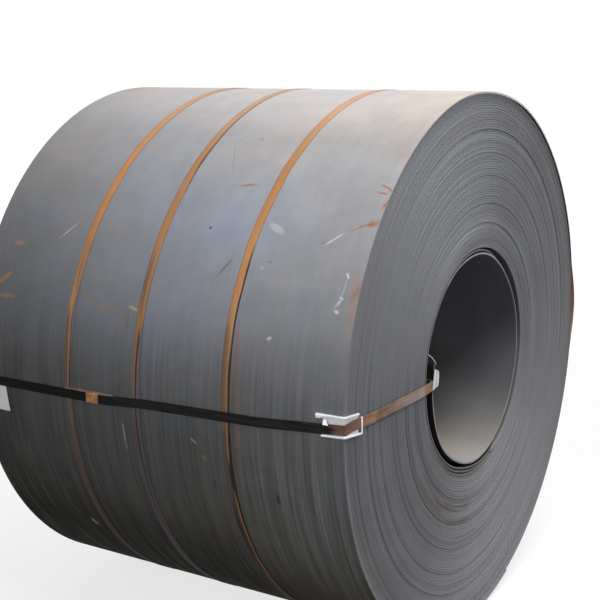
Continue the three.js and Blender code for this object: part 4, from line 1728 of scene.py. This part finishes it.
@dataclass
class Protector:
    """A sheet folded over a corner of the coil under the eye band."""

    node: str
    axis: CoilAxis
    band: EyeBand
    seat: float = 0.0003
    sheet: float = SHEET

    def __post_init__(self) -> None:
        """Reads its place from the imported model."""
        low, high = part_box(self.node)
        self.low, self.high = low.z, high.z
        self.end = 1 if high.x > 0 else -1
        self.piece = Piece(f"{self.node}_sheet")
        self.shine = self.piece.layer("shine")

    def build(self, finish: bpy.types.Material) -> bpy.types.Object:
        """Builds the protector.

        Args:
            finish: Its material.

        Returns:
            Its object.
        """
        self._sheet()
        self.piece.close()
        return self.piece.finish((finish,), "zinc_sheet", [self.node], sharp=50)

    def _sheet(self) -> None:
        """Makes the sheet and what is bent from it."""
        raise NotImplementedError

    def _station(self, row: int, leg: float, face: float) -> tuple[float, float, float, float]:
        """Gives a place on the way over a corner at 0 that looks to +X and -Y, and the way out there.

        Args:
            row: Row of corners, from 0 at the end of the leg to the last at the end of the face.
            leg: Reach along the coil.
            face: Reach across the coil's end.

        Returns:
            X, Y, and the X and Y of the way out.
        """
        past = row - len(LEG_SHARES)
        if past < 0:
            return -leg * LEG_SHARES[row], -self.seat, 0.0, -1.0
        if past < ARC_STEPS:
            turn = math.radians(90 / ARC_STEPS * (past + 1) - 90)
            return self.seat * math.cos(turn), self.seat * math.sin(turn), math.cos(turn), math.sin(turn)
        return self.seat, face * FACE_SHARES[past - ARC_STEPS], 1.0, 0.0

    def _edge(self, top: bool, travel: float) -> float:
        """Gives the height of the sheet's top or bottom edge at a distance past the corner."""
        return self.high if top else self.low

    def _bulk(self, top: bool, travel: float) -> float:
        """Gives how much taller than usual the rim is at a distance past the corner."""
        return 1.0

    def _bar(self, section: Sequence[RimPoint], leg: float, face: float, shine: float) -> None:
        """Runs one section over the corner.

        Args:
            section: Its corners, in order round it.
            leg: Reach along the coil.
            face: Reach across the coil's end.
            shine: How bright it is, from 0 to 2.
        """
        def place(column: int, row: int) -> Vector:
            """Places a corner of the section."""
            rim = section[column % len(section)]
            x, y, out_x, out_y = self._station(row, leg, face)
            travel = x if row < len(LEG_SHARES) else max(0.0, y)
            height = self._edge(rim.top, travel) + rim.inset * self._bulk(rim.top, travel) * (-1 if rim.top else 1)
            return Vector((x + out_x * rim.out, y + out_y * rim.out, height))

        steps = len(LEG_SHARES) + ARC_STEPS + len(FACE_SHARES) - 1
        for vert, _, _ in self.piece.rolled_grid(len(section), steps, place):
            vert[self.shine] = shine

    def _loft(self, rows: Sequence[Sequence[Vector]], shine: Sequence[float]) -> None:
        """Makes a closed form from rows of corners, each row going round it.

        Args:
            rows: The rows, all of one length.
            shine: How bright each corner of a row is, from -1 to 2; a single reading stands for all.
        """
        around = len(rows[0])
        made = self.piece.rolled_grid(around, len(rows) - 1, lambda column, row: rows[row][column % around])
        for vert, column, _ in made:
            vert[self.shine] = shine[column % around % len(shine)]

    def _seat_on(self, side: float, mirrored: bool) -> None:
        """Closes what is made so far and sets it over its corner.

        Args:
            side: The wall's place along Y.
            mirrored: Whether the wall looks to +Y.
        """
        bm = self.piece.bm
        self.piece.close()
        bmesh.ops.scale(bm, vec=(self.end, -1 if mirrored else 1, 1), verts=bm.verts)
        bmesh.ops.translate(bm, vec=(self.end * HALF_LENGTH, side, 0.0), verts=bm.verts)


def bead(top: bool) -> tuple[RimPoint, ...]:
    """Gives the section of the rolled rim at the sheet's top or bottom."""
    tall, proud = 0.0072, 0.0066
    shares = ((0.0, 0.0), (0.0, 0.68), (0.16, 0.93), (0.45, 1.0), (0.75, 0.96), (0.97, 0.68), (1.0, 0.0))
    return tuple(RimPoint(top, tall * inset, proud * out) for inset, out in shares)


def flat(inset: float, sheet: float) -> tuple[RimPoint, ...]:
    """Gives the section of the plain sheet between two rims, by how far in it starts and its thickness."""
    return tuple(RimPoint(top, inset, out) for top, out in ((True, 0.0), (True, sheet), (False, sheet), (False, 0.0)))


@dataclass
class OuterProtector(Protector):
    """The protector on the outer corner, with rolled rims, a keeper over the strap and a bent tab."""

    keeper_at: float = 0.0942
    keeper_wide: float = 0.008
    # the edges' heights above the node's own, by the distance past the corner
    top_rise: Knots = ((-0.095, 0.0047), (0.0, 0.0056), (0.08, -0.0019))
    low_rise: Knots = ((-0.076, 0.0007), (0.0, 0.005), (0.097, -0.0064))
    # distance from the corner, height above the strap's middle, and how proud
    tab: tuple[tuple[float, float, float], ...] = (
        (0.0706, 0.0084, 0.0066), (0.0516, 0.0085, 0.0066), (0.0606, 0.0265, 0.003), (0.0694, 0.0222, 0.003))

    def _edge(self, top: bool, travel: float) -> float:
        """Gives the height of the sheet's top or bottom edge at a distance past the corner."""
        return super()._edge(top, travel) + ramp(self.top_rise if top else self.low_rise, travel)

    def _bulk(self, top: bool, travel: float) -> float:
        """Gives how much taller than usual the rim is at a distance past the corner."""
        return 1.0 + (1.15 * smooth(-0.05, -0.085, travel) if top else 0.0)

    def _sheet(self) -> None:
        """Makes the two rims and the sheet between them, the keeper and the tab."""
        self._bar(bead(True), 0.0947, 0.0773, 1.0)
        self._bar(flat(0.006, self.sheet), 0.0723, 0.0795, 0.0)
        self._bar(bead(False), 0.0759, 0.0967, 1.0)
        self._seat_on(self.band.side, False)
        self._keeper()
        self._tab()

    def _keeper(self) -> None:
        """Adds the narrow bridge over the strap at the tip of the face."""
        y = self.band.side + self.keeper_at
        height = self.axis.z + self.band.band_height(self.end * HALF_LENGTH, y)
        outline = ((0.0011, 0.0186), (0.0044, 0.0186), (0.0056, 0.0172), (0.0068, 0.0), (0.0068, -0.031),
                   (0.0052, -0.032), (0.0052, -0.0178), (0.0042, -0.017), (0.0042, 0.0166), (0.0036, 0.017),
                   (0.0011, 0.017))
        rows = [[Vector((self.end * (HALF_LENGTH + out), y + along, height + up)) for out, up in outline]
                for along in (-self.keeper_wide / 2, self.keeper_wide / 2)]
        self._loft(rows, (1.0,))

    def _tab(self) -> None:
        """Adds the corner of sheet that is bent out over the strap."""
        thick = self.sheet / 2
        height = self.axis.z + self.band.band_height(self.end * HALF_LENGTH, self.band.side)
        rows = []
        for left, right in ((0, 1), (3, 2)):
            row = []
            for index, back in ((left, thick), (left, 0.0), (right, 0.0), (right, thick)):
                away, up, out = self.tab[index]
                row.append(Vector((
                    self.end * (HALF_LENGTH - away), self.band.side - self.seat - out + back, height + up)))
            rows.append(row)
        self._loft(rows, (2.0,))


@dataclass
class EyeProtector(Protector):
    """The protector on the eye's corner, with a curled lip above and a folded tongue over the strap."""

    leg: float = 0.084
    face: float = 0.006
    # heights above the axis
    foot: float = -0.0065
    crown: float = 0.083
    # distance from the eye's wall towards the outside and height above the axis, from the tongue to the lip's end
    lip: Knots = (
        (-0.002, 0.079), (-0.002, 0.083), (-0.0005, 0.0875), (0.011, 0.098), (0.0265, 0.11), (0.0395, 0.118),
        (0.051, 0.1245))
    lip_half: float = 0.0017
    # left and right edge of the tongue in the same way, from the top down
    tongue: tuple[tuple[float, float, float, float], ...] = (
        (0.004, 0.0665, -0.025, 0.0545), (0.007, 0.054, -0.031, 0.0475), (0.0094, 0.0373, -0.0315, 0.0373),
        (0.0125, 0.023, -0.031, 0.028), (0.0148, 0.008, -0.0305, 0.0155), (0.0172, -0.0037, -0.0265, 0.0043))

    def _sheet(self) -> None:
        """Makes the sheet, the lip and the tongue."""
        self.low, self.high = self.axis.z + self.foot, self.axis.z + self.crown
        # the leg in the eye is painted dark as shadow
        self._bar(flat(0.0, self.sheet), self.leg, self.face, -1.0)
        self._seat_on(self.band.wall, True)
        self._lip()
        self._tongue()

    def _at(self, away: float, up: float, out: float) -> Vector:
        """Places a point on the coil's end by its distance from the eye's wall and its height."""
        return Vector((self.end * (HALF_LENGTH + out), self.band.wall - away, self.axis.z + up))

    def _lip(self) -> None:
        """Adds the curled lip that runs out over the coil's end."""
        rows, last = [], len(self.lip) - 1
        for index, (away, up) in enumerate(self.lip):
            before, after = self.lip[max(0, index - 1)], self.lip[min(last, index + 1)]
            along = Vector((after[0] - before[0], after[1] - before[1])).normalized()
            out = 0.0046 - 0.003 * (index / last)
            side = Vector((-along.y, along.x)) * self.lip_half
            rows.append([self._at(away + side.x * way, up + side.y * way, out + thick)
                         for way, thick in ((-1, 0.0), (-1, 0.0012), (1, 0.0016), (1, 0.0))])
        self._loft(rows, (-0.4,))

    def _tongue(self) -> None:
        """Adds the folded tongue that covers the strap where it turns into the eye."""
        folds = ((0.0, 0.0046), (0.2, 0.0066), (0.38, 0.0062), (0.52, 0.0042), (0.7, 0.0066), (0.85, 0.0064),
                 (1.0, 0.0044))
        # painted highlights and shade across the folds
        shine = (-0.3, 0.4, 0.0, -0.6, 0.3, 0.15, -0.4)
        rows = []
        for left, left_up, right, right_up in self.tongue:
            front = [self._at(left + (right - left) * share, left_up + (right_up - left_up) * share, out)
                     for share, out in folds]
            back = [point - Vector((self.end * 0.0008, 0.0, 0.0)) for point in reversed(front)]
            rows.append(front + back)
        self._loft(rows, shine + shine[::-1])


@dataclass
class Label:
    """A blank card held behind the eye band, lying against the coil."""

    axis: CoilAxis
    node: str = "label"
    coil_radius: float = COIL_RADIUS
    thickness: float = 0.0005
    # the card's sides at its bottom and its top, and how far up it starts
    left: tuple[float, float] = (-0.666, -0.652)
    right: tuple[float, float] = (-0.609, -0.619)
    raised: float = 0.0115

    def build(self, finish: bpy.types.Material) -> bpy.types.Object:
        """Builds the card.

        Args:
            finish: Its material.

        Returns:
            Its object.
        """
        low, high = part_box(self.node)
        piece = Piece("label_card")
        rows, columns = 16, 6
        back = low.y + self.thickness

        def place(column: int, row: int) -> Vector:
            """Places a point of the card against the curve of the coil."""
            up = row / rows
            left = self.left[0] + (self.left[1] - self.left[0]) * up
            right = self.right[0] + (self.right[1] - self.right[0]) * up
            x = left + (right - left) * column / columns
            z = low.z + self.raised + (high.z - low.z - self.raised) * up
            wall = math.sqrt(self.coil_radius ** 2 - (z - self.axis.z) ** 2) - self.coil_radius
            sag = (up - 1) ** 2 * 0.002 * (column / columns)
            y = back - min(wall + 0.0006, 0.0) * (1.0 if abs(z - self.axis.z) > 0.04 else 0.6) - sag
            return Vector((x, max(back, y), z))

        piece.rolled_grid(columns, rows, place)
        piece.thicken(self.thickness, -1)
        return piece.finish((finish,), "label", [self.node])


# ---------------------------------------------------------------- studio


@dataclass
class Studio:
    """Plain floor, soft lights and the camera."""

    axis: CoilAxis
    sun: float = 1.15
    lamp: float = 80.0
    side: float = 1.0
    fill: float = 0.5
    ambient: float = 0.17
    floor_glow: float = 0.74
    floor_half: float = 30.0
    floor_drop: float = 0.0004
    camera_place: Colour = (2.42, -3.8764, 2.01)
    # the way the camera looks, seen from above, and its degrees below the level
    camera_way: tuple[float, float] = (-0.531, 0.847)
    camera_pitch: float = 11.03
    lens: float = 72.16

    def build(self) -> None:
        """Builds the whole studio."""
        self._floor()
        self._world()
        self._lights()
        self._camera()

    def _floor(self) -> None:
        """Lays a pale floor that takes the coil's shadow."""
        bm = bmesh.new()
        bmesh.ops.create_grid(bm, x_segments=2, y_segments=2, size=self.floor_half)
        bmesh.ops.translate(bm, vec=(0, 0, -self.floor_drop), verts=bm.verts)
        mesh = bpy.data.meshes.new("floor")
        bm.to_mesh(mesh)
        bm.free()
        floor = add_object("floor", mesh)
        book = FinishBook("floor_paint")
        seen = self._seen(book)
        grain = book.speckle(book.place(), 3.0, 3.0, 0.5, 0.3, 0.7)
        x, y, _ = book.split(book.place())
        far = ((x * x + y * y) ** 0.5).ease(2.5, 9.0)
        pale = book.blend(grain, (0.28, 0.28, 0.28), (0.31, 0.31, 0.31))
        colour = book.blend(seen, (0.13, 0.13, 0.13), pale)
        bright = book.blend(far, (self.floor_glow,) * 3, (0.9, 0.9, 0.9))
        glow = book.blend(seen, (0.0, 0.0, 0.0), bright)
        shader = book.node("ShaderNodeBsdfPrincipled", inputs={
            "Base Color": colour, "Roughness": 0.95, "IOR": 1.1, "Emission Color": glow, "Emission Strength": 1.0})
        mesh.materials.append(book.end_in(shader))

    @staticmethod
    def _seen(book: FinishBook) -> Channel:
        """Gives 1 where the camera, a gloss or a glass looks, and 0 for scattered light."""
        path = book.node("ShaderNodeLightPath", output="Is Camera Ray")
        outputs = path.value.node.outputs
        glossy = Channel(book, outputs["Is Glossy Ray"])
        through = Channel(book, outputs["Is Transmission Ray"])
        return (path + glossy + through).minimum(1.0)

    def _world(self) -> None:
        """Makes a white backdrop that lights the coil only a little."""
        world = bpy.data.worlds.new("studio")
        bpy.context.scene.world = world
        book = FinishBook("studio", world)
        level = self._seen(book) * (1.0 - self.ambient) + self.ambient
        sky = book.node("ShaderNodeBackground", inputs={"Color": (1.0, 1.0, 1.0), "Strength": level})
        book.end_in(sky, "ShaderNodeOutputWorld")

    def _lights(self) -> None:
        """Hangs a wide sun, a soft lamp above the front end and a weak fill behind."""
        self._light("sky_light", "SUN", 68, -8, self.sun, 40)
        self._light("side_fill", "SUN", 12, -97, self.side, 70)
        self._light("back_fill", "SUN", 32, 150, self.fill, 60)
        self._light("front_lamp", "AREA", 68, -16, self.lamp, 1.8, Vector((0.5, -0.15, self.axis.z)), 3.4)

    @staticmethod
    def _light(name: str, kind: str, elevation: float, azimuth: float, energy: float, size: float,
               aim: Vector = Vector(), distance: float = 8.0) -> None:
        """Hangs one light.

        Args:
            name: Name of the light.
            kind: SUN or AREA.
            elevation: Degrees above the floor.
            azimuth: Degrees from +X towards +Y.
            energy: Strength.
            size: Degrees across for a sun, metres across for a lamp.
            aim: The point that it looks at.
            distance: Metres from that point.
        """
        data = bpy.data.lights.new(name, kind)
        data.energy = energy
        if kind == "SUN":
            data.angle = math.radians(size)
        else:
            data.shape = "DISK"
            data.size = size
        light = add_object(name, data)
        up, round_ = math.radians(elevation), math.radians(azimuth)
        way = Vector((math.cos(up) * math.cos(round_), math.cos(up) * math.sin(round_), math.sin(up)))
        light.location = aim + way * distance
        face_along(light, way, "Z")

    def _camera(self) -> None:
        """Sets up the camera in front of the coil, a little above its middle."""
        data = bpy.data.cameras.new("camera")
        data.lens = self.lens
        data.sensor_width = 36.0
        data.clip_end = 100.0
        camera = add_object("camera", data)
        camera.location = self.camera_place
        pitch = math.radians(self.camera_pitch)
        x, y = self.camera_way
        face_along(camera, Vector((x * math.cos(pitch), y * math.cos(pitch), -math.sin(pitch))), "-Z")
        bpy.context.scene.camera = camera
        bpy.context.scene.view_settings.view_transform = "Standard"


# ---------------------------------------------------------------- assembly


def main() -> None:
    """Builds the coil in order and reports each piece."""
    logging.basicConfig(level=logging.INFO, format="%(name)s: %(message)s")
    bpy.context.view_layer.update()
    axis = CoilAxis.from_frame()
    steel = WoundSteel(axis)
    edges = LapEdges(axis, steel.gauge, steel.radius).make()
    eye_scale = EyeScale(axis).make()
    gap_shade = GAP_SHADE.make()
    steel.build((MillScale(axis).make(), edges, eye_scale, RUSTED_LAP.make(), gap_shade))
    LooseLaps(axis).build((eye_scale, PaleLooseEdge(axis).make(), edges, gap_shade))

    for name, wear in belly_wear().items():
        BellyBand(name, wear.lean, axis, steel).build(RustyStrap(axis, wear).make(name))

    eye_band = EyeBand(axis)
    eye_band.build(BlackStrap(axis.z + 0.008).make())
    seal_rust = SealRust().make()
    StrapTail(axis, eye_band).build(SealRust("tail_rust", (0.26, 0.13, 0.1), (0.38, 0.24, 0.21)).make())
    for node in ("eye_band_seal", "belly_seal_front", "belly_seal_middle", "belly_seal_back"):
        StrapSeal(node, axis).build(seal_rust)

    zinc = ZincSheet().make()
    for end in ("front", "back"):
        OuterProtector(f"outer_guard_{end}", axis, eye_band).build(zinc)
        EyeProtector(f"eye_guard_{end}", axis, eye_band).build(zinc)
    Label(axis).build(LabelCard().make())

    Studio(axis).build()


if __name__ == "__main__":
    main()
